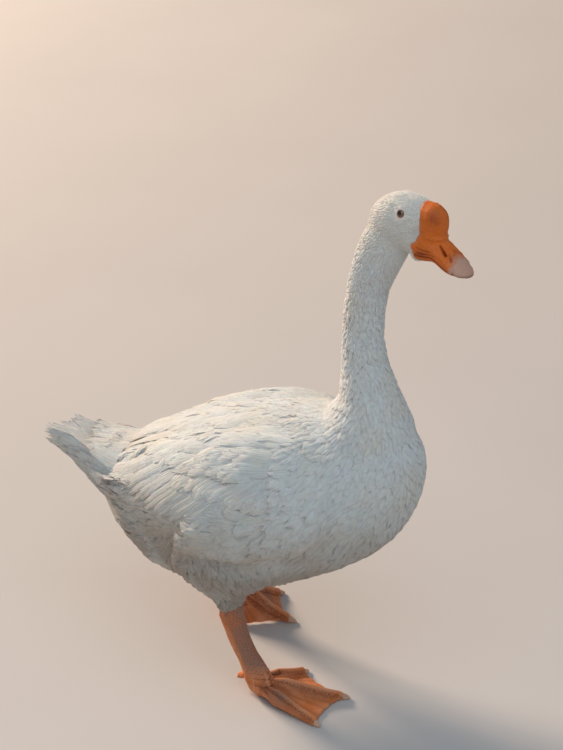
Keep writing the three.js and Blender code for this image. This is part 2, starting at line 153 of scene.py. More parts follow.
class Shader:
    """A material whose nodes are made by one method."""

    def __init__(self, name: str) -> None:
        """Starts a material with an empty Principled surface."""
        self.material = bpy.data.materials.new(name)
        self.material.use_nodes = True
        self.tree = self.material.node_tree
        self.surface = self.tree.nodes["Principled BSDF"]

    def node(self, kind: str, settings: Optional[dict] = None, inputs: Optional[dict] = None,
             output: Union[int, str] = 0) -> Signal:
        """Makes one node.

        Args:
            kind: the node's type.
            settings: its properties, set first.
            inputs: values or signals for its sockets, by name or number.
            output: which of its outputs is wanted.

        Returns:
            That output.
        """
        made = self.tree.nodes.new(kind)
        for key, value in (settings or {}).items():
            setattr(made, key, value)
        for key, value in (inputs or {}).items():
            self.feed(made.inputs[key], value)
        return Signal(self, made.outputs[output])

    def feed(self, socket: bpy.types.NodeSocket, value: object) -> None:
        """Links a signal to a socket, or sets its value."""
        if isinstance(value, Signal):
            self.tree.links.new(value.socket, socket)
        else:
            socket.default_value = value

    def dress(self, **values: object) -> Material:
        """Feeds the surface's sockets, where an underscore stands for a space, and returns the material."""
        for name, value in values.items():
            self.feed(self.surface.inputs[name.replace("_", " ")], value)
        return self.material

    def place(self) -> Signal:
        """Where a point is in the bird's frame, in metres."""
        return self.node("ShaderNodeTexCoord", output="Object")

    def map(self, name: str) -> Signal:
        """A UV map of the piece."""
        return self.node("ShaderNodeUVMap", {"uv_map": name})

    def stored(self, name: str) -> Signal:
        """A number that is stored at the piece's vertices."""
        return self.node("ShaderNodeAttribute", {"attribute_name": name}, output="Fac")

    def noise(self, where: Signal, size: float, detail: float = 2.0) -> Signal:
        """Cloudy noise from 0 to 1 with clouds of a size in millimetres."""
        inputs = {"Vector": where, "Scale": 1 / (size * MM), "Detail": detail}
        return self.node("ShaderNodeTexNoise", None, inputs)

    def part(self, vector: Signal, axis: str) -> Signal:
        """One component, X, Y or Z, of a vector."""
        return self.node("ShaderNodeSeparateXYZ", None, {"Vector": vector}, axis)

    def mixed(self, share: Term, first: object, second: object) -> Signal:
        """A colour between two, by a share from 0 to 1."""
        return self.node("ShaderNodeMix", {"data_type": "RGBA"}, {0: share, 6: first, 7: second}, 2)

    def bump(self, height: Signal, depth: float, before: Optional[Signal] = None) -> Signal:
        """A normal from a height of 0 to 1 over a depth in millimetres."""
        inputs = {"Height": height, "Distance": depth * MM}
        if before is not None:
            inputs["Normal"] = before
        return self.node("ShaderNodeBump", None, inputs)


# ---------------------------------------------------------------- finishes


@dataclass(frozen=True)
class Plumage:
    """White feathers: cream over neck and back, and dust under the belly; creamier towards the crown, partly
    a cream tint and partly painted warm sunlight.
    """

    name: str = "white_plumage"
    white: Colour = (0.84, 0.83, 0.81, 1)
    cream: Colour = (0.86, 0.75, 0.63, 1)
    ash: Colour = (0.50, 0.48, 0.46, 1)
    dust: Colour = (0.34, 0.27, 0.215, 1)
    belly: Pair = (0.265, 0.125)  # metres: the dust sets in between these heights
    crown_tint_and_sunlight: Pair = (0.455, 0.505)  # metres: the cream sets in between these heights, partly a cream tint and partly painted warm sunlight on the head
    barb: float = 1.3  # from one clump of barbs to the next
    slant: float = 0.8  # how far the clumps run towards the tip for each millimetre sideways
    streak: float = 1.1  # width of a streak along a feather
    stretch: float = 0.07  # a streak's width as a share of its length
    seeds: float = 60.0  # how far apart the streaks of two feathers are taken

    def material(self) -> Material:
        """Builds the material."""
        shader = Shader(self.name)
        where = shader.place()
        tone = shader.stored("tone")
        height = shader.part(where, "Z")
        clouds = shader.noise(where, 38.0)
        mottle = shader.noise(where, 4.5, 3.0)
        strands = shader.map("Vane")
        across = shader.part(strands, "X")
        along = shader.part(strands, "Y")
        parts = {0: across, 1: along * self.stretch, 2: tone * self.seeds}
        lengthwise = shader.node("ShaderNodeCombineXYZ", None, parts)
        streaks = shader.node("ShaderNodeTexNoise", None,
                              {"Vector": lengthwise, "Scale": 1 / self.streak, "Detail": 2.0})
        phase = (along - abs(across) * self.slant + mottle * 0.8) * (2 * math.pi / self.barb)
        lines = phase.wave() * 0.5 + 0.5
        colour = shader.mixed(clouds.between(0.4, 0.7) * 0.5, self.white, self.cream)
        colour = shader.mixed(mottle.between(0.45, 0.75) * 0.22, colour, self.ash)
        colour = shader.mixed(streaks.between(0.48, 0.72) * 0.32, colour, self.ash)
        colour = shader.mixed(tone.between(0.5, 1.0) * 0.18, colour, self.cream)
        colour = shader.mixed((1 - tone).between(0.6, 1.0) * 0.16, colour, self.ash)
        # Creamier towards the crown: partly a cream tint, partly painted warm sunlight.
        colour = shader.mixed(height.between(*self.crown_tint_and_sunlight) * 0.55, colour, self.cream)
        low = height.between(*self.belly) * clouds.between(-0.1, 0.6)
        colour = shader.mixed(low * 0.88, colour, self.dust)
        colour = shader.mixed(lines * 0.10, colour, self.ash)
        rough = mottle * 0.2 + 0.72
        normal = shader.bump(streaks, 0.9, shader.bump(lines, 0.25))
        return shader.dress(Base_Color=colour, Roughness=rough, Normal=normal, Sheen_Weight=0.2,
                            Sheen_Roughness=0.6, Specular_IOR_Level=0.2, Subsurface_Weight=0.2,
                            Subsurface_Scale=0.004)


@dataclass(frozen=True)
class Horn:
    """The bill's orange horn, or the nail's pale one: finely pitted, darker in blotches, and darker still by
    the stored shade numbers, which on the bill and nail are painted shade.
    """

    name: str
    main: Colour
    dark: Colour
    light: Colour
    tip: Colour = (0.52, 0.30, 0.22, 1)
    rough: float = 0.42
    pits: float = 1.6

    def material(self) -> Material:
        """Builds the material."""
        shader = Shader(self.name)
        where = shader.place()
        blotch = shader.noise(where, 14.0, 3.0)
        grain = shader.noise(where, self.pits, 4.0)
        colour = shader.mixed(blotch.between(0.52, 0.80) * 0.7, self.main, self.dark)
        colour = shader.mixed(grain.between(0.5, 0.75) * 0.5, colour, self.light)
        # Stored shade: on the bill, painted shade in its nostrils and grooves, under the upper mandible's
        # edge, over the lower mandible and under the nail's tip; the lids store an even darkening.
        shade = shader.stored("shade")
        pale = shader.stored("pale")
        colour = shader.mixed(pale, colour, self.tip)
        colour = shader.mixed(shade, colour, self.dark)
        rough = grain * 0.25 + self.rough
        normal = shader.bump(grain, 0.5)
        return shader.dress(Base_Color=colour, Roughness=rough, Normal=normal, Subsurface_Weight=0.08,
                            Subsurface_Scale=0.002, Specular_IOR_Level=0.35)


ORANGE_HORN = Horn("orange_horn", (0.64, 0.14, 0.010, 1), (0.25, 0.036, 0.004, 1), (0.78, 0.27, 0.06, 1))
PALE_HORN = Horn("pale_horn", (0.52, 0.30, 0.22, 1), (0.16, 0.08, 0.06, 1), (0.62, 0.40, 0.30, 1),
                 rough=0.36)
BARE_LID = Horn("bare_lid", (0.30, 0.15, 0.09, 1), (0.10, 0.04, 0.03, 1), (0.42, 0.26, 0.18, 1), rough=0.5)
CLAW_HORN = Horn("claw_horn", (0.62, 0.40, 0.27, 1), (0.30, 0.17, 0.10, 1), (0.74, 0.54, 0.40, 1),
                 rough=0.45)


@dataclass(frozen=True)
class ScalySkin:
    """The legs' orange skin: scales, dust on the shanks, darker lines between scales, painted shade in the
    creases and beside the toes, and a painted highlight along the toes' ridges.
    """

    name: str = "scaly_legs"
    main: Colour = (0.62, 0.18, 0.045, 1)
    pale: Colour = (0.78, 0.38, 0.20, 1)
    # The colour of the darker lines between scales and of the painted shade in creases, valleys and fold
    # troughs.
    crease: Colour = (0.15, 0.040, 0.014, 1)
    dusty: Colour = (0.27, 0.15, 0.11, 1)

    def material(self) -> Material:
        """Builds the material."""
        shader = Shader(self.name)
        where = shader.place()
        cloud = shader.noise(where, 16.0, 3.0)
        grain = shader.noise(where, 1.2, 4.0)
        colour = shader.mixed(cloud.between(0.35, 0.8) * 0.6, self.main, self.pale)
        dust = shader.stored("dust")
        colour = shader.mixed(dust * (cloud.between(0.2, 0.6) * 0.45 + 0.4), colour, self.dusty)
        # The toes' ridges are painted paler: a painted highlight.
        ridge = shader.stored("ridge")
        colour = shader.mixed(ridge * 0.5, colour, self.pale)
        # Darker lines between scales, painted shade in the creases, the valleys and the web folds' troughs,
        # and less shade on the ridges and fold crests, a painted highlight.
        shade = shader.stored("shade")
        colour = shader.mixed(shade, colour, self.crease)
        rough = grain * 0.25 + 0.48
        return shader.dress(Base_Color=colour, Roughness=rough, Normal=shader.bump(grain, 0.4),
                            Subsurface_Weight=0.06, Subsurface_Scale=0.002)


@dataclass(frozen=True)
class WetEye:
    """An eyeball: rings round the pupil, read from the ball's own map."""

    name: str = "wet_eye"
    pupil: Colour = (0.004, 0.003, 0.003, 1)
    iris: Colour = (0.30, 0.13, 0.06, 1)
    rim: Colour = (0.03, 0.012, 0.006, 1)
    white: Colour = (0.25, 0.12, 0.08, 1)
    pupil_edge: Pair = (0.098, 0.112)  # each edge as shares of the way round the ball
    iris_edge: Pair = (0.150, 0.185)
    rim_edge: Pair = (0.240, 0.270)

    def material(self) -> Material:
        """Builds the material."""
        shader = Shader(self.name)
        ball = shader.map("UVMap")
        out = 1 - shader.part(ball, "Y")
        rays = shader.noise(shader.place(), 0.6, 3.0)
        colour = shader.mixed(rays.between(0.3, 0.7) * 0.6, self.iris, self.rim)
        colour = shader.mixed(out.between(*self.pupil_edge), self.pupil, colour)
        colour = shader.mixed(out.between(*self.iris_edge), colour, self.rim)
        colour = shader.mixed(out.between(*self.rim_edge), colour, self.white)
        rough = rays * 0.05 + 0.06
        return shader.dress(Base_Color=colour, Roughness=rough, Coat_Weight=1.0, Coat_Roughness=0.02)


# ---------------------------------------------------------------- modelling helpers


def select(*objects: Thing) -> None:
    """Selects only these objects, and makes the first one active."""
    bpy.ops.object.select_all(action="DESELECT")
    for item in objects:
        item.select_set(True)
    bpy.context.view_layer.objects.active = objects[0]


def modify(item: Thing, kind: str, **settings: object) -> None:
    """Adds a modifier to an object and applies it."""
    select(item)
    modifier = item.modifiers.new(kind.lower(), kind)
    for key, value in settings.items():
        setattr(modifier, key, value)
    bpy.ops.object.modifier_apply(modifier=modifier.name)


def remesh(item: Thing, voxel: float) -> None:
    """Remeshes an object evenly, for a voxel size in millimetres."""
    modify(item, "REMESH", mode="VOXEL", voxel_size=voxel * MM, use_smooth_shade=True)


def smooth(item: Thing, times: int, group: str = "") -> None:
    """Smooths an object, or the part of it that a vertex group gives."""
    modify(item, "SMOOTH", factor=0.5, iterations=times, vertex_group=group)


def merged_copy(name: str, nodes: Sequence[str]) -> Thing:
    """A new object that holds copies of CAD nodes with their loose triangles merged."""
    parts = []
    for node in nodes:
        part = bpy.data.objects.new(name, frame["nodes"][node].data.copy())
        part.data.materials.clear()
        bpy.context.scene.collection.objects.link(part)
        parts.append(part)
    select(*parts)
    if len(parts) > 1:
        bpy.ops.object.join()
    whole = bpy.context.view_layer.objects.active
    whole.name = name
    whole.data.name = name
    bpy.ops.object.mode_set(mode="EDIT")
    bpy.ops.mesh.select_all(action="SELECT")
    bpy.ops.mesh.remove_doubles(threshold=1e-5)
    bpy.ops.object.mode_set(mode="OBJECT")
    return whole


def read(items: object, name: str, width: int, kind: type = float) -> Array:
    """A property of all items of a mesh as rows of numbers."""
    values = np.zeros(len(items) * width, np.int32 if kind is int else np.float32)
    items.foreach_get(name, values)
    values = values.reshape(-1, width)
    return values if kind is int else values.astype(float)


def course(values: Array, places: Bend) -> Array:
    """Heights of a bent line over some values, from its (value, height) corners."""
    return np.interp(values, *zip(*places))


def points_of(item: Thing) -> Array:
    """An object's vertices in millimetres."""
    return read(item.data.vertices, "co", 3) / MM


def normals_of(item: Thing) -> Array:
    """The smooth normals at an object's vertices."""
    return read(item.data.vertices, "normal", 3)


def reshape(item: Thing, points: Array) -> None:
    """Moves an object's vertices to new places in millimetres."""
    item.data.vertices.foreach_set("co", (points * MM).astype(np.float32).ravel())
    item.data.update()


def record(item: Thing, name: str, values: Array) -> None:
    """Stores one number at each vertex as an attribute that materials read."""
    attribute = item.data.attributes.new(name, "FLOAT", "POINT")
    attribute.data.foreach_set("value", values.astype(np.float32))


def vertex_group(item: Thing, name: str, weights: Array) -> None:
    """Stores weights from 0 to 1 at an object's vertices as a vertex group."""
    group = item.vertex_groups.new(name=name)
    for index, weight in enumerate(weights.tolist()):
        group.add((index,), weight, "REPLACE")


def unit(vectors: Array) -> Array:
    """Vectors of length one along some vectors."""
    return vectors / np.maximum(np.linalg.norm(vectors, axis=-1, keepdims=True), 1e-9)


def flattened(vectors: Array, normals: Array) -> Array:
    """Unit vectors along some vectors, laid in the planes across some normals."""
    return unit(vectors - (vectors * normals).sum(-1, keepdims=True) * normals)


def from_segment(points: Array, start: Array, end: Array) -> Columns:
    """How far points are from a straight stretch, and how far along it from 0 to 1 they are nearest."""
    ahead = end - start
    share = np.clip((points - start) @ ahead / max(float(ahead @ ahead), 1e-9), 0, 1)
    return np.linalg.norm(points - start - share[:, None] * ahead, axis=1), share


def hill(distance: Array, width: float) -> Array:
    """A smooth hill of height 1 at distance 0 that is all but gone two widths away."""
    return np.exp(-((distance / width) ** 2))


def linear(values: Array, start: float, end: float) -> Array:
    """A straight step from 0 at the start to 1 at the end; the end may be the lower number."""
    return np.clip((values - start) / (end - start), 0, 1)


def ramp(values: Array, start: float, end: float) -> Array:
    """The same step with soft ends."""
    share = linear(values, start, end)
    return share**2 * (3 - 2 * share)


def node_middle(node: str, share: Triple = (0.5, 0.5, 0.5)) -> Array:
    """A place in a CAD node's box, as shares of its sides in x, y and z, in millimetres."""
    low, high = (np.array(corner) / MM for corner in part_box(node))
    return low + (high - low) * np.array(share)


MIDDLE_X = float(node_middle("trunk")[0])


def spot(left: Reading, forward: Reading, height: Reading) -> Array:
    """Places of the bird as x, y and z in millimetres."""
    return np.stack(np.broadcast_arrays(MIDDLE_X + left, -forward, height), -1)


def finish_piece(item: Thing, material: Material,
                 nodes: Sequence[str] = ()) -> None:
    """Gives a piece its material and its body, and hides the CAD nodes that it stands for."""
    item.data.materials.clear()
    item.data.materials.append(material)
    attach(item, "root")
    if nodes:
        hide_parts(*nodes)
    LOG.info("%s: %d faces", item.name, len(item.data.polygons))


# ---------------------------------------------------------------- where and how the coat grows


@dataclass(frozen=True)
class Growth:
    """How the coat grows at a place: sizes of one feather, and how deep the skin lies."""

    length: float
    width: float
    spacing: float
    lift: float  # height of a feather's tip above the skin
    depth: float  # how far the skin lies inside the outline

    def row(self) -> Array:
        """The sizes as numbers."""
        return np.array((self.length, self.width, self.spacing, self.lift, self.depth))


@dataclass(frozen=True)
class Stretch:
    """A straight stretch of the bird's middle line, with the growth at both of its ends."""

    start: Array
    end: Array
    first: Growth
    last: Growth
    strength: float = 1.0


class Lie:
    """The lie of the coat: feathers point along the nearest stretches of the middle line."""

    softness: float = 12.0

    def __init__(self, stretches: Sequence[Stretch]) -> None:
        """Holds the stretches."""
        self.stretches = stretches

    def sample(self, points: Array) -> Columns:
        """The direction in which feathers lie at some points, and rows of Growth sizes."""
        heading = np.zeros((len(points), 3))
        sizes = np.zeros((len(points), 5))
        total = np.zeros((len(points), 1))
        for part in self.stretches:
            away, share = from_segment(points, part.start, part.end)
            weight = (part.strength / (away**2 + self.softness**2) ** 2)[:, None]
            heading += weight * unit(part.end - part.start)
            sizes += weight * (part.first.row() + share[:, None] * (part.last.row() - part.first.row()))
            total += weight
        return unit(heading), sizes / total


# length, width, spacing, lift and depth
FACE = Growth(3.4, 1.5, 1.15, 0.55, 0.6)
CROWN = Growth(4.8, 1.9, 1.35, 0.7, 0.5)
NAPE = Growth(7.5, 2.6, 1.8, 1.1, 1.0)
THROAT = Growth(10.0, 3.6, 2.2, 1.3, 1.4)
NECK_BASE = Growth(14.0, 6.5, 3.3, 1.3, 2.2)
BREAST = Growth(21.0, 10.5, 4.9, 1.6, 3.2)
FLANK = Growth(26.0, 12.0, 5.6, 2.3, 5.6)
RUMP = Growth(38.0, 14.0, 5.8, 3.2, 4.4)
VENT = Growth(36.0, 13.0, 5.2, 3.6, 4.2)
THIGH = Growth(14.0, 7.0, 3.8, 2.2, 3.0)
CUFF = Growth(8.0, 3.4, 2.2, 1.2, 1.6)

MIDDLE_LINE: Sequence[tuple[str, Triple, Growth]] = (
    ("bill_knob", (0.5, 0.5, 0.4), FACE),
    ("head", (0.5, 0.5, 0.5), CROWN),
    ("neck_upper", (0.5, 0.5, 0.5), NAPE),
    ("neck_middle", (0.5, 0.5, 0.5), THROAT),
    ("neck_lower", (0.5, 0.45, 0.35), NECK_BASE),
    ("trunk", (0.5, 0.24, 0.62), BREAST),
    ("trunk", (0.5, 0.55, 0.48), FLANK),
    ("tail_base", (0.5, 0.35, 0.5), RUMP),
    ("tail_fan", (0.5, 0.6, 0.6), VENT),
)


def coat_lie() -> Lie:
    """The lie of this bird's coat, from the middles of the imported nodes."""
    stations = [(node_middle(node, share), growth) for node, share, growth in MIDDLE_LINE]
    parts = [Stretch(a, b, first, last) for (a, first), (b, last) in zip(stations, stations[1:])]
    for side in Side:
        top = node_middle(f"thigh_{side.word}", (0.5, 0.5, 0.6))
        end = node_middle(f"shank_{side.word}", (0.5, 0.5, 0.9))
        parts.append(Stretch(top, end, THIGH, CUFF, strength=0.6))
    return Lie(parts)


# ---------------------------------------------------------------- the head


class HeadFrame:
    """The head's own axes, from where its eyes are: forward, left and up, in millimetres."""

    nod: float = math.radians(4)
    eyes: Pair = (7.0, 13.5)  # how far forward and up the eyes are in this frame
    arch: float = 4.6  # how far the bill's lower edge rises halfway
    arch_middle: float = 41.0  # where the arch is highest
    arch_width: float = 10.0
    throat: float = -45.0  # nothing lower is taken for the head
    far: float = 99.0  # stands for a place that is out of reach
    edge: Bend = (
        (-31.0, 33.0), (-28.5, 29.0), (-25.5, 22.8), (-18.0, 21.8), (-14.0, 20.6), (-11.0, 20.4),
        (-8.0, 22.8), (-2.0, 24.4), (9.0, 24.8), (17.0, 23.4), (23.0, 21.2), (28.0, 19.5),
    )  # heights of the feathers' edge, and how far forward it is there

    def __init__(self) -> None:
        """Works the axes out."""
        left_eye, right_eye = (node_middle(f"eye_{side.word}") for side in Side)
        self.left = unit(left_eye - right_eye)
        level = unit(np.cross(self.left, (0, 0, 1)))
        upright = np.array((0.0, 0.0, 1.0))
        self.forward = level * math.cos(self.nod) - upright * math.sin(self.nod)
        self.up = upright * math.cos(self.nod) + level * math.sin(self.nod)
        self.origin = (left_eye + right_eye) / 2 - self.eyes[0] * self.forward - self.eyes[1] * self.up

    def local(self, points: Array) -> Array:
        """Points as forward, left and up of the head."""
        return (points - self.origin) @ np.stack((self.forward, self.left, self.up), 1)

    def arched(self, points: Array) -> Array:
        """Points of the bill with its lower edge's arch."""
        local = self.local(points)
        rise = self.arch * hill(local[:, 0] - self.arch_middle, self.arch_width) * ramp(local[:, 2], -9, -22)
        return points + rise[:, None] * self.up

    def past_edge(self, local: Array) -> Array:
        """How far forward of the feathers' edge some local points are."""
        return local[:, 0] - course(local[:, 2], self.edge)

    def before_feathers(self, points: Array) -> Array:
        """How far points of the head are in front of the feathers' edge; below the head, far behind it."""
        local = self.local(points)
        return np.where(local[:, 2] > self.throat, self.past_edge(local), -self.far)


@dataclass
class Eyes:
    """Both eyeballs, and the bare lids round them."""

    head: HeadFrame
    ball: Material
    lid: Material
    out: Triple = (0.16, 1.0, 0.36)  # the way an opening faces: forward, outward and up
    gaze: Triple = (0.02, 1.0, 0.36)  # the way a ball looks
    opening: float = 3.1
    lid_thick: float = 0.5
    lid_shade: float = 0.35
    lid_sag: float = 0.25  # how far the lid bends round the ball at the corners of the eye
    wrinkles: int = 19  # round a lid
    wrinkle: float = 0.03  # their depth as a share of the opening
    chin: float = 3.2  # how far the chin is filled
    chin_place: Pair = (19.0, -27.0)  # forward and up in the head's frame
    chin_width: float = 8.5
    socket: float = 10.5  # how far from the eye's axis the face rises to meet the lid
    socket_fall: float = 0.12  # how steeply the face falls away from the lid

    def look(self, side: Side, way: Optional[Triple] = None) -> Array:
        """The way an eye's opening faces, or another way out from the head on that side."""
        forward, outward, up = way or self.out
        return unit(forward * self.head.forward + side.value * outward * self.head.left + up * self.head.up)

    def radius(self, side: Side) -> float:
        """An eyeball's radius, from the height of its box."""
        low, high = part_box(f"eye_{side.word}")
        return (high.z - low.z) / 2 / MM

    def rim(self, side: Side) -> float:
        """How far out along its look an eye's lid lies."""
        return math.sqrt(self.radius(side) ** 2 - self.opening**2)

    def build(self) -> None:
        """Models both eyeballs and lids."""
        for side in Side:
            node = f"eye_{side.word}"
            middle = Vector(node_middle(node))
            radius = self.radius(side) * MM
            bpy.ops.object.select_all(action="DESELECT")
            bpy.ops.mesh.primitive_uv_sphere_add(segments=40, ring_count=28, radius=radius, calc_uvs=True)
            ball = self._placed(f"eyeball_{side.word}", middle, Vector(self.look(side, self.gaze)))
            finish_piece(ball, self.ball, (node,))
            look = Vector(self.look(side))
            self._lid(side, middle + look * self.rim(side), look)

    @staticmethod
    def _placed(name: str, place: Vector, look: Vector) -> Thing:
        """The newest object, smooth, named and turned to look a way from a place."""
        made = bpy.context.object
        made.name = name
        turn = look.to_track_quat("Z", "Y").to_matrix().to_4x4()
        made.data.transform(Matrix.Translation(place * MM) @ turn)
        bpy.ops.object.shade_smooth()
        return made

    def _lid(self, side: Side, place: Vector, look: Vector) -> None:
        """A ring of bare skin that lies on the eyeball round its opening."""
        bpy.ops.object.select_all(action="DESELECT")
        bpy.ops.mesh.primitive_torus_add(major_radius=self.opening * MM, minor_radius=self.lid_thick * MM,
                                         major_segments=56, minor_segments=12)
        points = points_of(bpy.context.object)
        angle = np.arctan2(points[:, 1], points[:, 0])
        points[:, 2] -= self.lid_sag * np.cos(2 * angle)
        points[:, :2] *= 1 + self.wrinkle * np.sin(self.wrinkles * angle)[:, None] * (points[:, 2:] > 0)
        reshape(bpy.context.object, points)
        ring = self._placed(f"eyelid_{side.word}", place, look)
        for name, value in (("shade", self.lid_shade), ("pale", 0.0)):
            record(ring, name, np.full(len(points), value))
        finish_piece(ring, self.lid)

    def axial(self, side: Side, points: Array) -> Columns:
        """How far points are out along an eye's look, and how far from that line."""
        look = self.look(side)
        away = points - node_middle(f"eye_{side.word}")
        out = away @ look
        return out, np.linalg.norm(away - out[:, None] * look, axis=1)

    def mould(self, points: Array) -> Array:
        """The skin's points with the face drawn up to both lids, and the chin filled."""
        local = self.head.local(points)
        from_chin = np.hypot(local[:, 0] - self.chin_place[0], local[:, 2] - self.chin_place[1])
        chin = hill(from_chin, self.chin_width) * ramp(local[:, 2], -14, -22)
        points = self.head.arched(points - (self.chin * chin)[:, None] * self.head.up)
        for side in Side:
            out, across = self.axial(side, points)
            share = ramp(across, self.socket, self.opening) * (out > 0)
            goal = self.rim(side) - 0.08 - self.socket_fall * np.clip(across - self.opening, 0, None)
            points = points + (share * (goal - out))[:, None] * self.look(side)
        return points

    def clearance(self, points: Array) -> Array:
        """How far points are outside the nearer lid; less than 0 within its ring."""
        clear = np.full(len(points), self.head.far)
        for side in Side:
            out, across = self.axial(side, points)
            clear = np.where(out > 0, np.minimum(clear, across - self.opening - self.lid_thick), clear)
        return clear


@dataclass(frozen=True)
class Fold:
    """A line on the bill's left side, mirrored to its right, with a groove or a ridge along it, and painted
    shade along some grooves.
    """

    course: tuple[Triple, ...]  # places in the head's frame
    height: float  # less than 0 for a groove
    width: float
    shade: float = 0.0  # how much painted shade lies along it

    def distance(self, mirrored: Array) -> Array:
        """How far points are from the line."""
        nodes = [np.array(place) for place in self.course]
        return np.min([from_segment(mirrored, a, b)[0] for a, b in zip(nodes, nodes[1:])], axis=0)


BILL_DARK_PATCHES = (((36.0, 9.0, 19.0), 0.55, 9.0), ((31.0, 14.4, -18.0), 0.5, 6.0))  # places, how dark, widths: a darker patch on each side of the knob's middle, and a painted shadow under the upper mandible's edge by the gape
BILL_WARTS = ((33.0, 2.0, 26.2), (41.0, 2.6, 22.0), (29.0, 5.0, 25.0))
# Grooves with a shade number carry painted shade: the nostrils, the slit beside them and the folds by the
# gape; the long groove under the upper mandible's edge is a painted shadow.
BILL_FOLDS = (
    Fold(((45.6, 7.1, -6.2), (49.4, 7.6, -9.9), (52.4, 8.3, -12.6)), -2.1, 1.0, 0.95),
    Fold(((50.2, 7.8, -10.8), (51.8, 8.2, -12.0)), -0.2, 1.7, 0.5),
    Fold(((44.0, 8.6, -8.6), (48.6, 9.2, -12.8), (55.0, 10.2, -17.4)), 1.0, 1.5),
    Fold(((47.6, 5.4, -4.6), (52.4, 6.2, -9.1), (56.0, 7.8, -14.2)), 1.2, 1.1),
    Fold(((51.4, 4.8, -6.6), (56.0, 6.2, -11.4), (58.6, 8.0, -16.4)), -1.3, 1.0, 0.75),
    Fold(((38.0, 12.6, -10.4), (46.0, 11.8, -14.6), (54.8, 11.5, -18.4), (63.0, 11.4, -22.6)), 1.9, 2.2),
    Fold(((30.0, 13.6, -7.6), (36.0, 13.2, -8.8), (42.4, 12.4, -11.6)), 0.7, 2.8),
    Fold(((25.0, 15.0, -12.6), (31.0, 14.6, -13.4), (38.0, 13.6, -14.2)), -0.7, 1.0, 0.4),
    Fold(((26.5, 15.0, -14.7), (33.0, 14.5, -15.4), (40.0, 13.2, -16.6)), 0.6, 1.0),
    Fold(((26.0, 15.0, -16.9), (33.0, 14.4, -17.8), (43.0, 13.0, -19.0)), -0.8, 1.1, 0.55),
    Fold(((24.0, 14.8, -19.8), (31.0, 14.6, -21.0), (41.0, 13.8, -22.4), (58.0, 12.1, -25.0)),
         -0.9, 1.5, 0.6),
    Fold(((21.2, 14.6, -11.6), (21.8, 15.0, -13.0)), 2.6, 2.2),
    Fold(((26.4, 12.6, -5.0), (27.4, 12.2, 0.0), (27.8, 12.4, 5.0)), 0.4, 1.4),
    Fold(((33.0, 11.0, -1.5), (39.0, 9.2, -1.5), (43.0, 4.5, -1.4), (44.0, 0.0, -1.4)), 2.3, 2.9),
    Fold(((45.4, 4.0, 12.0), (45.8, 0.0, 12.0)), -0.8, 6.0),
)


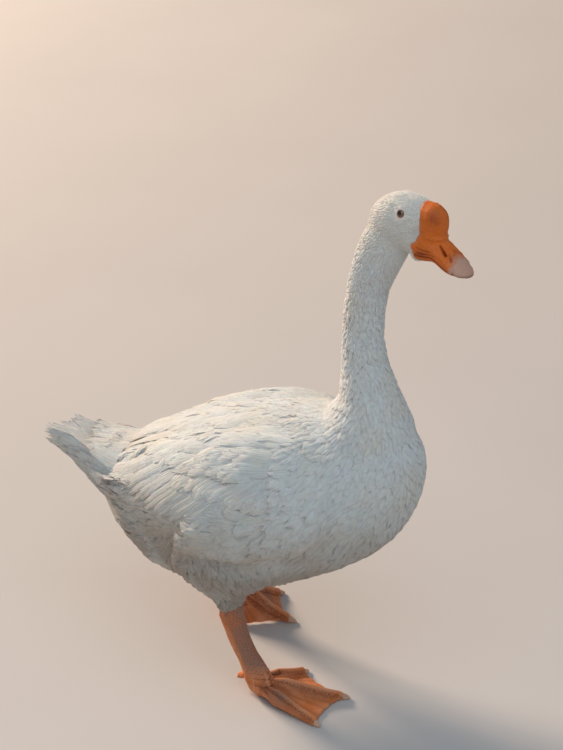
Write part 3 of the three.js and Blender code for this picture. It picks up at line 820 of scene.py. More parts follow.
@dataclass
class Bill:
    """The knobbed upper mandible, the nail and the lower mandible."""

    head: HeadFrame
    horn: Material
    nail: Material
    voxel: float = 0.55
    sink: float = 5.0  # how far the horn runs on under the feathers
    dive: float = 2.6  # how far its hidden part lies inside its outline
    lower_dive: float = 1.6  # times as far for the lower mandible
    heel: float = 2.4  # how far the nail runs back over the horn
    heel_way: Pair = (0.65, 0.76)  # up and back
    heel_edge: Pair = (68.5, 64.5)  # how far forward the heel begins and is full
    back: Bend = ((-26.0, 18.4), (-10.0, 20.0), (5.0, 21.8), (26.0, 24.4))  # as the head's edge
    waist: float = 9.0  # half the height of the hollow under the knob
    waist_times: int = 220  # how often that hollow is smoothed
    wart: Pair = (0.5, 0.9)  # height and width
    wrinkle: float = 0.08
    # Painted shade over the whole lower mandible.
    lower_shade: float = 0.3
    lower_groove: Triple = (-0.35, 8.5, 0.8)  # height, how far aside, and width
    nail_line: float = 0.06  # height of a growth line
    pale_top: float = 0.95  # how pale the top is near the nail
    pale_edge: float = 0.4  # how pale the horn is where the feathers end

    def build(self) -> None:
        """Models the three pieces."""
        self._piece("horn_upper", ("bill_upper", "bill_knob"), self.horn, "bill", self._upper)
        self._piece("horn_lower", ("bill_lower",), self.horn, "bill", self._lower)
        self._piece("horn_nail", ("bill_nail",), self.nail, "nail", self._nail)

    def _piece(self, name: str, nodes: tuple[str, ...], material: Material, slot: str,
               sculpt: Callable[[Array], Columns]) -> None:
        """Models one piece from its nodes.

        Args:
            name: the piece's name.
            nodes: the CAD nodes that it takes its form from and stands for.
            material: its material.
            slot: nail for the nail, whose heel is then drawn back over the horn; bill for the others.
            sculpt: gives the height, the painted shade and the paleness to add at points of the head.
        """
        piece = merged_copy(name, nodes)
        remesh(piece, self.voxel)
        smooth(piece, 10)
        if "bill_knob" in nodes:
            local = self.head.local(points_of(piece))
            waist = hill(local[:, 2] - 2, self.waist) * linear(local[:, 0], 25, 30)
            vertex_group(piece, "waist", waist)
            smooth(piece, self.waist_times, "waist")
        points = points_of(piece)
        local = self.head.local(points)
        heel = self.heel * ramp(local[:, 0], *self.heel_edge) * (slot == "nail")
        heel_way = self.heel_way[0] * self.head.up - self.heel_way[1] * self.head.forward
        points = self.head.arched(points) + heel[:, None] * heel_way
        low = "bill_lower" in nodes
        if not low:
            back = course(local[:, 2], self.back)
            sink = np.clip((back + 4 - local[:, 0]) / 4, 0, 1) * self.sink
            points = points - sink[:, None] * self.head.forward
        height, shade, pale = sculpt(local)
        hidden = linear(self.head.before_feathers(points), 0, -2)
        height = height * (1 - hidden) - self.dive * (self.lower_dive if low else 1.0) * hidden
        reshape(piece, points + normals_of(piece) * height[:, None])
        # Painted shade in the grooves, under the edges and over the lower mandible.
        record(piece, "shade", np.clip(shade, 0, 1))
        record(piece, "pale", np.clip(pale, 0, 1))
        finish_piece(piece, material, nodes)

    def _upper(self, local: Array) -> Columns:
        """The knob's and upper mandible's relief: nostrils, folds by the gape, ridges and warts, with
        painted shade in the nostrils and grooves, a painted shadow under the upper mandible's edge, and a
        darker patch on the knob's middle.
        """
        mirrored = local * (1, 0, 1) + np.abs(local) * (0, 1, 0)
        height = np.zeros(len(local))
        shade = np.zeros(len(local))
        # Painted shade along the grooves.
        for fold in BILL_FOLDS:
            near = hill(fold.distance(mirrored), fold.width)
            height += fold.height * near
            shade += fold.shade * near
        # Darker patches: the knob's middle, and a painted shadow under the upper mandible's edge.
        for place, dark, width in BILL_DARK_PATCHES:
            shade += dark * hill(np.linalg.norm(mirrored - place, axis=1), width)
        for place in BILL_WARTS:
            height += self.wart[0] * hill(np.linalg.norm(local - place, axis=1), self.wart[1])
        wrinkle = np.sin(mirrored[:, 2] * 1.9 + np.sin(mirrored[:, 1] * 0.8) * 1.4)
        height += self.wrinkle * wrinkle * hill(local[:, 2] + 2, self.waist)
        top = ramp(local[:, 0], 55, 65) * ramp(local[:, 2], -22, -14)
        pale = np.maximum(self.pale_top * top, ramp(local[:, 0] - 0.35 * local[:, 2], 65.5, 70.5))
        pale = np.maximum(pale, self.pale_edge * ramp(self.head.past_edge(local), 3.0, 0.5))
        return height, shade, pale

    def _lower(self, local: Array) -> Columns:
        """The lower mandible's relief: a long groove along each side, with painted shade over the whole
        mandible and more painted shade in the grooves.
        """
        depth, aside, width = self.lower_groove
        away = np.abs(np.abs(local[:, 1]) - aside)
        shade = self.lower_shade + 0.35 * hill(away, 1.5 * width)
        return depth * hill(away, width), shade, linear(local[:, 0], 60, 68)

    def _nail(self, local: Array) -> Columns:
        """The nail's relief: faint growth lines, with painted shade under its tip."""
        lines = np.sin(local[:, 0] * 2.2 + local[:, 1] ** 2 * 0.05)
        dark = 0.8 * linear(local[:, 2], -24, -27) * linear(local[:, 0], 66, 70)
        return self.nail_line * lines, dark, np.zeros(len(local))


# ---------------------------------------------------------------- the skin


class Surface:
    """A surface as numbers, in millimetres, for feathers to lie on."""

    GROWTH: ClassVar[float] = 1.25  # from one class of spacing to the next when roots are scattered

    def __init__(self, points: Array, corners: Array, normals: Array,
                 unwrap: Optional[Array] = None) -> None:
        """Holds a surface.

        Args:
            points: its vertices.
            corners: the three vertices of each triangle.
            normals: the normal of each triangle.
            unwrap: the place of each triangle's corners on the unwrap.
        """
        self.points = points
        self.corners = corners
        self.normals = normals
        self.unwrap = unwrap
        self.tree = BVHTree.FromPolygons(points.tolist(), corners.tolist())
        a, b, c = (points[corners[:, k]] for k in range(3))
        self.areas = np.linalg.norm(np.cross(b - a, c - a), axis=1) / 2

    @classmethod
    def of(cls, skin: Thing) -> "Surface":
        """Reads a skin object that has an unwrap named OFBake."""
        mesh = skin.data
        mesh.calc_loop_triangles()
        corners = read(mesh.loop_triangles, "vertices", 3, int)
        loops = read(mesh.loop_triangles, "loops", 3, int)
        unwrap = read(mesh.uv_layers["OFBake"].uv, "vector", 2)[loops]
        return cls(points_of(skin), corners, unit(normals_of(skin)[corners].mean(1)), unwrap)

    def nearest(self, points: Array) -> Columns:
        """The places on the surface nearest to some points, the normals there and the triangles' numbers."""
        found = [self.tree.find_nearest(point) for point in points.reshape(-1, 3).tolist()]
        places = np.array([hit[0][:] for hit in found]).reshape(points.shape)
        faces = np.array([hit[2] for hit in found])
        return places, self.normals[faces].reshape(points.shape), faces

    def settle(self, points: Array, normals: Array, pull: Array) -> Columns:
        """Lowers or lifts points to the surface, but only so far, so that ends run on past an edge.

        Args:
            points: the places.
            normals: which way is up there.
            pull: how far each may move.

        Returns:
            The new places, and the ways up there.
        """
        places, found, _ = self.nearest(points)
        shift = places - points
        share = np.minimum(1, pull / np.maximum(np.linalg.norm(shift, axis=-1, keepdims=True), 1e-6))
        trust = share * np.clip(((found * normals).sum(-1, keepdims=True) - 0.2) / 0.5, 0, 1)
        return points + shift * share, unit(normals * (1 - trust) + found * trust)

    def struck(self, starts: Array, way: Triple, stand_ins: Array) -> Array:
        """Where rays meet the surface, or the stand-in of a ray that misses it."""
        hits = [self.tree.ray_cast(Vector(start), Vector(way))[0] for start in starts]
        return np.array([hit[:] if hit else tuple(spare) for hit, spare in zip(hits, stand_ins)])

    def scatter(self, rng: Chance, lie: Lie, crowd: float = 4.0) -> Array:
        """Roots spread evenly over the surface, as far apart as the coat's spacing there.

        Args:
            rng: the source of chance.
            lie: the coat.
            crowd: how many places are tried for each square of the spacing's side.

        Returns:
            The roots' places.
        """
        middles = self.points[self.corners].mean(1)
        spacing = lie.sample(middles)[1][:, 2]
        tries = rng.poisson(crowd * self.areas / spacing**2)
        faces = np.repeat(np.arange(len(self.areas)), tries)
        rng.shuffle(faces)
        share = rng.random((len(faces), 2))
        over = share.sum(1) > 1
        share[over] = 1 - share[over]
        a, b, c = (self.points[self.corners[faces, k]] for k in range(3))
        places = a + share[:, :1] * (b - a) + share[:, 1:] * (c - a)
        steps = np.floor(np.log(spacing[faces]) / math.log(self.GROWTH)).astype(int)
        kept = [thinned(places[steps == step], self.GROWTH ** (step + 0.5)) for step in np.unique(steps)]
        return np.vstack(kept)


def thinned(points: Array, apart: float) -> Array:
    """The points that are left when each one closer than a distance to an earlier one is dropped."""
    cells: dict[tuple[int, int, int], list[tuple[float, float, float]]] = {}
    around = [(i, j, k) for i in (-1, 0, 1) for j in (-1, 0, 1) for k in (-1, 0, 1)]
    kept = []
    limit = apart**2
    for (a, b, c), (x, y, z) in zip(np.floor(points / apart).astype(int).tolist(), points.tolist()):
        near = (q for i, j, k in around for q in cells.get((a + i, b + j, c + k), ()))
        if all((x - q[0]) ** 2 + (y - q[1]) ** 2 + (z - q[2]) ** 2 > limit for q in near):
            cells.setdefault((a, b, c), []).append((x, y, z))
            kept.append((x, y, z))
    return np.array(kept).reshape(-1, 3)


class Sides:
    """Zones on the body's sides, each as a share from 0 to 1 at some points.

    Zones have soft edges: each ramp says where an edge begins and where it is full, in millimetres.
    """

    SIDE: ClassVar[Pair] = (42.0, 60.0)  # how far from the middle plane the sides begin
    FLANK_REAR: ClassVar[Bend] = ((112, -52), (149, -55), (172, -48), (210, -32))  # height, forward
    FLANK_TOP: ClassVar[Bend] = ((-40, 206), (0, 218), (60, 236))  # forward, height
    WING_TOP: ClassVar[Bend] = ((-150, 250), (-100, 272), (40, 290))  # forward, height

    @classmethod
    def _parts(cls, points: Array) -> Columns:
        """How far forward, how high and how much to the side points are."""
        return -points[:, 1], points[:, 2], ramp(np.abs(points[:, 0] - MIDDLE_X), *cls.SIDE)

    @classmethod
    def flank(cls, points: Array) -> Array:
        """The flank's full plumage over the wing's lower edge, with a soft upright edge behind it."""
        forward, height, aside = cls._parts(points)
        rear = course(height, cls.FLANK_REAR)
        top = course(forward, cls.FLANK_TOP)
        band = ramp(height - top, 8, -8) * ramp(height, 118, 150)
        return aside * ramp(forward - rear, -4.5, 4.5) * band * ramp(forward, 80, 40)

    @classmethod
    def shoulder(cls, points: Array) -> Array:
        """The breast's side feathers, which lie over the wing's front end."""
        forward, height, aside = cls._parts(points)
        aside = aside * ramp(forward, 62, 72) * ramp(forward, 112, 96)
        return aside * ramp(height, 196, 214) * ramp(height, 290, 270)

    @classmethod
    def hollow(cls, points: Array) -> Array:
        """The hollow below the wing and behind the flank."""
        forward, height, aside = cls._parts(points)
        behind = ramp(forward, -36, -50) * ramp(forward, -140, -100)
        return aside * behind * ramp(height, 208, 194) * ramp(height, 126, 160) * (1 - cls.flank(points))

    @classmethod
    def wing(cls, points: Array) -> Array:
        """The part of the side that the wing's own rows of feathers cover."""
        forward, height, _ = cls._parts(points)
        aside = ramp(np.abs(points[:, 0] - MIDDLE_X), 14, 24)
        top = course(forward, cls.WING_TOP)
        return aside * ramp(forward, 62, 50) * ramp(height, 196, 206) * ramp(height - top, 6, -6)

    @classmethod
    def wing_end(cls, points: Array) -> Array:
        """The wing's hindmost part, whose long feathers run on past it."""
        forward, height, _ = cls._parts(points)
        aside = np.abs(points[:, 0] - MIDDLE_X)
        outside_tail = ramp(aside, 20, 26) * (1 - ramp(forward, -134, -137) * ramp(aside, 60, 50))
        return outside_tail * ramp(forward, -104, -112) * ramp(height, 172, 180) * ramp(height, 262, 254)


@dataclass
class Skin:
    """One closed skin under the feathers of trunk, neck, head, wings, tail and thighs."""

    lie: Lie
    eyes: Eyes
    material: Material
    voxel: float = 2.1
    thin_share: float = 0.36  # of a thin place's thickness that the skin may sink on each side
    thickest: float = 40.0  # nothing thicker is measured
    whole_smooth: int = 6
    body_smooth: int = 30
    last_smooth: int = 3
    hollow: float = 6.5  # how much deeper the hollow behind the flank lies
    flank: float = 3.2  # how much less deep the flank lies
    nodes: tuple[str, ...] = (
        "trunk", "tail_base", "neck_lower", "neck_middle", "neck_upper", "head",
        "wing_shoulder_left", "wing_flight_left", "wing_tip_left", "thigh_left",
        "wing_shoulder_right", "wing_flight_right", "wing_tip_right", "thigh_right",
    )
    inside: tuple[str, ...] = ("bill_upper", "bill_knob", "bill_lower", "eye_left", "eye_right")
    under_horn: float = 3.2  # how far the skin lies inside the horn

    def build(self) -> Thing:
        """Models the skin and returns it."""
        skin = merged_copy("skin", self.nodes + self.inside)
        remesh(skin, self.voxel)
        smooth(skin, self.whole_smooth)
        vertex_group(skin, "body", self._body_share(points_of(skin)))
        smooth(skin, self.body_smooth, "body")
        depth = self._depths(skin)
        deepest = float(depth.max())
        vertex_group(skin, "inset", depth / deepest)
        modify(skin, "DISPLACE", direction="NORMAL", strength=-deepest * MM, mid_level=0.0,
               vertex_group="inset")
        smooth(skin, self.last_smooth)
        reshape(skin, Tail.sunken(self.eyes.mould(points_of(skin))))
        self._unwrap(skin)
        finish_piece(skin, self.material, self.nodes)
        return skin

    @staticmethod
    def _body_share(points: Array) -> Array:
        """How much a point belongs to the trunk: 1 there, 0 up the neck and on the thighs' cuffs."""
        return linear(points[:, 2], 345, 305) * linear(points[:, 2], 118, 143)

    def _depths(self, skin: Thing) -> Array:
        """How far each vertex sinks: the coat's depth, or less where the body is thin."""
        points = points_of(skin)
        normals = normals_of(skin)
        depth = self.lie.sample(points)[1][:, 4]
        depth = depth + self.hollow * Sides.hollow(points) - self.flank * Sides.flank(points)
        horn = np.clip(self.eyes.head.before_feathers(points) / 2 + 0.3, 0, 1)
        depth = depth * (1 - horn) + self.under_horn * horn
        mesh = skin.data
        mesh.calc_loop_triangles()
        tree = BVHTree.FromPolygons(points.tolist(), read(mesh.loop_triangles, "vertices", 3, int).tolist())
        for index, (point, normal) in enumerate(zip(points, normals)):
            inward = Vector(-normal)
            thickness = tree.ray_cast(Vector(point) + inward * 0.5, inward, self.thickest)[3]
            if thickness is not None:
                depth[index] = min(depth[index], self.thin_share * thickness)
        return depth

    @staticmethod
    def _unwrap(skin: Thing) -> None:
        """Unwraps the skin's own shape into a map named OFBake."""
        skin.data.uv_layers.new(name="OFBake")
        select(skin)
        bpy.ops.object.mode_set(mode="EDIT")
        bpy.ops.mesh.select_all(action="SELECT")
        bpy.ops.uv.smart_project(angle_limit=math.radians(66), island_margin=0.002)
        bpy.ops.object.mode_set(mode="OBJECT")


# ---------------------------------------------------------------- feathers


@dataclass
class Planting:
    """Feathers to grow, one row each, with sizes in millimetres; a size given once is for all of them."""

    ROWS: ClassVar[tuple[str, ...]] = (
        "roots", "way", "length", "width", "base", "lift", "turn", "tilt", "cling",
    )

    roots: Array
    way: Array  # the way each feather points at its root
    length: Reading
    width: Reading
    base: Reading  # height of the root above the skin
    lift: Reading  # height of the tip above the skin
    turn: Reading = 0.0  # how far it bends sideways over its length, in radians
    tilt: Reading = 0.0  # how far one edge stands above the other, in radians
    cling: Reading = 1.0  # how much each gives way to the surface, from 0 to 1
    follow: float = 0.0  # how much they follow the lie of the coat rather than their own way

    def __post_init__(self) -> None:
        """Gives every feather its own row."""
        for name in self.ROWS:
            shape = self.roots.shape if name in ("roots", "way") else len(self.roots)
            setattr(self, name, np.broadcast_to(getattr(self, name), shape))

    def kept(self, mask: Array) -> "Planting":
        """The feathers that a mask keeps."""
        return Planting(*(getattr(self, name)[mask] for name in self.ROWS), self.follow)


def stacked(plantings: Sequence[Planting]) -> Planting:
    """All the feathers of several plantings together."""
    rows = (np.concatenate([getattr(part, name) for part in plantings]) for name in Planting.ROWS)
    return Planting(*rows, plantings[0].follow)


@dataclass(frozen=True)
class Shape:
    """A feather's closed mesh before it is laid down.

    Along runs from 0 at the root to 1 at the tip, and across from -1 to 1 at the full width. Each
    vertex stands off one place of that sheet, its anchor, by a height in millimetres.
    """

    along: Array
    across: Array
    anchor: Array
    thick: Array
    faces: Array
    ends: Array  # places at the very tips
    before: Array  # the places just before those


@dataclass(frozen=True)
class Plume:
    """A feather's form: a thin closed sheet of lengthwise strips that part at the end."""

    rows: int = 4
    strips: int = 1  # on each side of the shaft
    root: float = 0.5  # width at the root, as a share
    broadest: float = 0.55  # where along it the feather is broadest
    tip: float = 0.3  # width at the tip, as a share
    fray: float = 0.0  # how much shorter every other strip is
    rounding: float = 0.25  # how much shorter the outer strips are
    ridge: float = 0.0  # half the height of a strip's ridge
    thick: float = 0.16  # half the sheet's thickness
    camber: float = 0.04  # how far the edges hang, as a share of the width
    tuck: float = 0.45  # how far the edges sink towards the skin, as a share of the height
    droop: float = 0.3  # how far the end does

    def breadth(self, share: float) -> float:
        """The half width at a share of a strip's length."""
        if share < self.broadest:
            return self.root + (1 - self.root) * math.sin(math.pi / 2 * share / self.broadest)
        rest = (share - self.broadest) / (1 - self.broadest)
        return self.tip + (1 - self.tip) * math.cos(math.pi / 2 * rest)

    def shape(self) -> Shape:
        """Builds the closed mesh: a top and a bottom sheet that share one outline."""
        wide, last = self.strips, self.rows
        columns = range(-wide, wide + 1)
        along, across, ridge = [], [], []
        for k in range(last + 1):
            for j in columns:
                reach = 1 - self.fray * (j % 2) - self.rounding * (j / wide) ** 2
                along.append(reach * k / last)
                across.append(j / wide * self.breadth(k / last))
                ridge.append(self.ridge * (1 - 2 * (j % 2)) * math.sin(math.pi / 2 * min(1.0, 2 * k / last)))
        span = 2 * wide + 1
        count = span * (last + 1)
        top = np.arange(count).reshape(last + 1, span)
        inner = top[1:-1, 1:-1]
        under = top.copy()
        under[1:-1, 1:-1] = count + np.arange(inner.size).reshape(inner.shape)
        anchor = np.concatenate((np.arange(count), inner.ravel()))
        thick = np.array(ridge)[anchor]
        thick[inner.ravel()] += self.thick
        thick[count:] -= self.thick
        faces = []
        for sheet, order in ((top, (0, 1, 2, 3)), (under, (3, 2, 1, 0))):
            corners = np.stack((sheet[:-1, :-1], sheet[1:, :-1], sheet[1:, 1:], sheet[:-1, 1:]), -1)
            quads = corners.reshape(-1, 4)[:, order]
            faces += [quads[:, (0, 1, 2)], quads[:, (0, 2, 3)]]
        return Shape(np.array(along), np.array(across), anchor, thick, np.vstack(faces), top[-1], top[-2])


TUFT = Plume(rows=3, strips=1, root=0.45, broadest=0.5, tip=0.12, rounding=0.3, thick=0.14, camber=0.12)
LOCK = Plume(rows=4, strips=2, root=0.5, broadest=0.5, tip=0.5, fray=0.14, rounding=0.26, ridge=0.1,
             droop=0.4)
COVERT = Plume(rows=7, strips=3, root=0.5, broadest=0.5, tip=0.55, fray=0.10, rounding=0.24, ridge=0.16,
               droop=0.5)
QUILL = Plume(rows=12, strips=4, root=0.6, broadest=0.5, tip=0.72, fray=0.03, rounding=0.10, ridge=0.34,
              thick=0.2, tuck=0.25, droop=0.35)
RECTRIX = Plume(rows=12, strips=3, root=0.6, broadest=0.5, tip=0.35, fray=0.05, rounding=0.12, ridge=0.4,
                thick=0.2, tuck=0.2, droop=0.1)
FLUFF = Plume(rows=6, strips=3, root=0.4, broadest=0.55, tip=0.4, fray=0.2, rounding=0.26, ridge=0.2,
              droop=0.5)


@dataclass
class Coat:
    """Grows plantings into joined meshes over a surface."""

    skin: Surface
    material: Material
    lie: Lie
    patch: float = 0.003  # side of one feather's place on the unwrap
    march: int = 6  # steps by which a feather follows the surface
    bend: float = 0.33  # how far a feather gives way to the surface, as a share of the way
    ragged: float = 0.4  # how unevenly strips end, as a share of their last step
    follow_share: float = 0.5  # how much of the lie each step takes up
    edge_bend: float = 1.3  # how much more the edges give way than the shaft
    climbed: float = 0.75  # where along it a feather has risen to its full lift
    drooping: float = 0.7  # where along it the end begins to droop
    crease: float = 60.0  # degrees between faces that are shaded as one

    def rachis(self, ground: Surface, planting: Planting) -> Columns:
        """Lays each feather's middle on a surface.

        Args:
            ground: the surface that the feathers lie on.
            planting: the feathers.

        Returns:
            Places, normals and sideways directions at march + 1 stations.
        """
        place, normal, _ = ground.nearest(planting.roots)
        places, normals, sides = [place], [normal], []
        step = (planting.length / self.march)[:, None]
        way = planting.way
        for index in range(self.march):
            if planting.follow > 0 and index:
                now = self.lie.sample(place)[0]
                way = unit(way + planting.follow * self.follow_share * flattened(now, normal))
            ahead = flattened(way, normal)
            bend = (planting.turn * (index + 0.5) / self.march)[:, None]
            ahead = unit(ahead * np.cos(bend) + np.cross(normal, ahead) * np.sin(bend))
            sides.append(np.cross(normal, ahead))
            pull = self.bend * planting.cling[:, None] * step
            place, normal = ground.settle(place + ahead * step, normal, pull)
            places.append(place)
            normals.append(normal)
            way = ahead
        sides.append(sides[-1])
        return np.stack(places, 1), np.stack(normals, 1), np.stack(sides, 1)

    def grow(self, name: str, planting: Planting, plume: Plume, rng: Chance,
             nodes: Sequence[str] = (), ground: Optional[Surface] = None) -> Thing:
        """Grows a planting as one joined mesh.

        Args:
            name: the piece's name.
            planting: the feathers.
            plume: their form.
            rng: the source of chance for their ends and tones.
            nodes: CAD nodes that the piece stands for.
            ground: the surface that they lie on, if it isn't the skin.

        Returns:
            The piece.
        """
        ground = ground or self.skin
        shape = plume.shape()
        places, normals, sides = self.rachis(ground, planting)
        reach = shape.along * self.march
        low = np.minimum(reach.astype(int), self.march - 1)
        part = (reach - low)[None, :, None]
        middle = places[:, low] * (1 - part) + places[:, low + 1] * part
        normal = unit(normals[:, low] * (1 - part) + normals[:, low + 1] * part)
        side = unit(sides[:, low] * (1 - part) + sides[:, low + 1] * part)
        half = planting.width[:, None] / 2
        spots = middle + side * (half * shape.across)[:, :, None]
        if plume.strips > 1:
            edge = shape.across != 0
            pull = (planting.cling[:, None] * half * np.abs(shape.across))[:, edge, None]
            pull = self.bend * self.edge_bend * pull
            spots[:, edge], normal[:, edge] = ground.settle(spots[:, edge], normal[:, edge], pull)
        hang = plume.camber * planting.width[:, None] * shape.across**2
        climb = linear(shape.along, 0, self.climbed)
        droop = plume.droop * ramp(shape.along, self.drooping, 1.0)
        rise = planting.base[:, None] + (planting.lift - planting.base)[:, None] * climb
        rise = rise * (1 - plume.tuck * shape.across**2) * (1 - droop)
        tilt = planting.tilt[:, None] * half * shape.across * climb
        spots = spots + normal * (rise - hang + tilt)[:, :, None]
        uneven = rng.uniform(-1, 0.7, (len(spots), len(shape.ends), 1)) * self.ragged
        spots[:, shape.ends] += (spots[:, shape.ends] - spots[:, shape.before]) * uneven
        spots = spots[:, shape.anchor] + normal[:, shape.anchor] * shape.thick[None, :, None]
        return self._joined(name, spots, shape, planting, rng, nodes)

    def _joined(self, name: str, spots: Array, shape: Shape, planting: Planting,
                rng: Chance, nodes: Sequence[str]) -> Thing:
        """Joins feathers, rows of vertices each, into a piece with its maps and tones."""
        count, corners = spots.shape[:2]
        faces = (shape.faces[None] + np.arange(count)[:, None, None] * corners).reshape(-1, 3)
        mesh = bpy.data.meshes.new(name)
        mesh.vertices.add(count * corners)
        mesh.vertices.foreach_set("co", (spots * MM).astype(np.float32).ravel())
        mesh.loops.add(faces.size)
        mesh.loops.foreach_set("vertex_index", faces.astype(np.int32).ravel())
        mesh.polygons.add(len(faces))
        mesh.polygons.foreach_set("loop_start", np.arange(0, faces.size, 3, dtype=np.int32))
        mesh.update(calc_edges=True)
        along, across = shape.along[shape.anchor], shape.across[shape.anchor]
        _, _, root_faces = self.skin.nearest(planting.roots)
        patch = np.stack((across / 2, along - 0.5), 1) * self.patch
        unwrap = self.skin.unwrap[root_faces].mean(1)[:, None] + patch[None]
        strands = np.stack((planting.width[:, None] / 2 * across, planting.length[:, None] * along), 2)
        for layer, values in (("OFBake", unwrap), ("Vane", strands)):
            per_corner = values.reshape(-1, 2)[faces.ravel()]
            mesh.uv_layers.new(name=layer).uv.foreach_set("vector", per_corner.astype(np.float32).ravel())
        piece = bpy.data.objects.new(name, mesh)
        bpy.context.scene.collection.objects.link(piece)
        record(piece, "tone", np.repeat(rng.random(count), corners))
        select(piece)
        bpy.ops.object.shade_smooth_by_angle(angle=math.radians(self.crease))
        finish_piece(piece, self.material, nodes)
        return piece


@dataclass(frozen=True)
class Row:
    """A row of like feathers on both sides of the bird, whose sizes run from its front end to its rear end.

    Its ends are (forward, height) places as seen from the side.
    """

    name: str
    front: Pair
    rear: Pair
    count: int
    length: Pair
    width: Pair
    slope: Pair  # degrees below level, looking back
    base: Pair
    lift: Pair
    plume: Plume
    loose: float = 0.06  # how much ways and sizes differ
    tilt: float = 0.0  # how far each feather's lower front edge stands over the next, in radians
    cling: float = 1.0  # how closely they follow the skin
    above: bool = False  # whether the ends are (forward, aside) places seen from above instead
    stray: float = 1.2  # how far roots lie from the row, in millimetres

    def planting(self, skin: Surface, side: Side, rng: Chance) -> Planting:
        """The row's feathers on one side.

        Args:
            skin: the surface that they root in.
            side: the side of the bird.
            rng: the source of chance.

        Returns:
            The feathers.
        """
        share = (np.arange(self.count) + 0.5) / self.count

        def run(ends: Pair, chance: float = 0.0) -> Array:
            """Numbers from one end of the row to the other, with a share of chance."""
            return (ends[0] + (ends[1] - ends[0]) * share) * (1 + chance * rng.uniform(-1, 1, self.count))

        forward, height = (
            run(ends) + rng.normal(0, self.stray, self.count) for ends in zip(self.front, self.rear)
        )
        slope = np.radians(run(self.slope)) + rng.normal(0, self.loose, self.count)
        flat = np.zeros(self.count)
        if self.above:
            way = np.stack((side.value * np.sin(slope), np.cos(slope), flat), 1)
            starts, stand_ins = spot(side.value * height, forward, 600.0), spot(0.0, forward, 250.0)
            roots = skin.struck(starts, (0, 0, -1), stand_ins)
        else:
            way = np.stack((flat, np.cos(slope), -np.sin(slope)), 1)
            starts, stand_ins = spot(side.value * 200.0, forward, height), spot(0.0, forward, height)
            roots = skin.struck(starts, (-side.value, 0, 0), stand_ins)
        return Planting(
            roots=roots,
            way=way,
            length=run(self.length, self.loose * 1.5),
            width=run(self.width, self.loose),
            base=run(self.base),
            lift=run(self.lift, 0.15),
            turn=rng.normal(0, self.loose, self.count),
            tilt=-side.value * self.tilt,
            cling=self.cling,
        )


ROWS = (
    Row("primaries", (-62, 222), (-84, 244), 7, (74, 62), (13, 15), (16, 8), (0.5, 1), (3, 4), QUILL,
        loose=0.02, tilt=0.10, cling=0.5),
    Row("secondaries", (34, 260), (-70, 260), 22, (80, 80), (13, 13), (47, 36), (1, 1), (4, 4), QUILL,
        loose=0.015, tilt=0.2, cling=0.6),
    Row("tertials", (-18, 276), (-66, 284), 10, (112, 98), (15, 17), (37, 20), (2, 1.6), (5, 4), QUILL,
        loose=0.03, tilt=0.10, cling=0.6),
    Row("coverts", (74, 262), (-22, 267), 18, (42, 50), (18, 19), (42, 44), (0.3, 2), (4, 4), COVERT,
        tilt=0.06),
    Row("coverts_front", (80, 246), (46, 238), 7, (36, 38), (17, 18), (30, 42), (0.2, 1), (3.6, 4), COVERT),
    Row("scapulars_low", (54, 279), (-50, 270), 16, (46, 58), (19, 21), (24, 28), (0.3, 2), (5, 5), COVERT,
        loose=0.1),
    Row("scapulars_mid", (60, 288), (-56, 279), 16, (48, 58), (19, 21), (20, 26), (0.3, 2), (4.6, 4.6),
        COVERT, loose=0.1),
    Row("scapulars_top", (64, 296), (-60, 286), 16, (48, 58), (17, 19), (14, 22), (1, 1), (3.4, 3.4), COVERT,
        loose=0.1),
    Row("mantle_edge", (14, 31), (-104, 21), 22, (42, 46), (17, 17), (28, 16), (1, 1), (4, 2.6), FLUFF,
        loose=0.12, above=True),
    Row("mantle_low", (6, 17), (-122, 13), 24, (46, 50), (16, 17), (26, 18), (2, 1), (4.6, 3), FLUFF,
        loose=0.14, above=True),
    Row("mantle_top", (20, 9), (-132, 6), 26, (44, 48), (16, 17), (18, 10), (1, 1), (4, 3), FLUFF,
        loose=0.14, above=True),
    Row("flank_top", (90, 241), (6, 223), 18, (32, 40), (15, 17), (-6, 2), (0, 1), (3, 5), FLUFF,
        loose=0.16),
    Row("flank_rear", (2, 210), (-22, 160), 14, (34, 38), (15, 17), (0, 14), (1, 2), (6.5, 6.5), FLUFF,
        loose=0.16),
)


@dataclass
class Tracts:
    """The feathers that lie in rows: wing quills and coverts, scapulars and flanks."""

    coat: Coat

    def build(self, rng: Chance) -> None:
        """Grows every row on both sides."""
        for row in ROWS:
            both = stacked([row.planting(self.coat.skin, side, rng) for side in Side])
            self.coat.grow(row.name, both, row.plume, rng)


@dataclass(frozen=True)
class Trough:
    """A surface along the tail whose cross-section is an arch, given at several places behind the middle."""

    back: tuple[float, ...]
    half: tuple[float, ...]  # half widths
    brim: tuple[float, ...]  # heights of the edges
    apex: tuple[float, ...]  # heights of the middle line, over the edges or under them
    skew: float  # how much higher the right edge stands
    inside: Pair  # a place inside the arch, as forward and height
    widest: float = 110.0  # degrees round the arch to each edge

    def at(self, turn: Array, back: Reading) -> Array:
        """The surface's points at some turns round the arch."""
        rows = (self.half, self.brim, self.apex)
        half, brim, apex = (np.interp(back, self.back, row) for row in rows)
        brim = brim - self.skew * np.sin(turn) * ramp(back, 150, 190)
        return spot(half * np.sin(turn), -back, brim + (apex - brim) * np.cos(turn))

    def surface(self) -> Surface:
        """The whole surface, facing outward."""
        turn = np.radians(np.linspace(-self.widest, self.widest, 41))
        back = np.linspace(self.back[0], self.back[-1], 40)
        return sheet(self.at(*np.meshgrid(turn, back, indexing="ij")), spot(0.0, *self.inside))


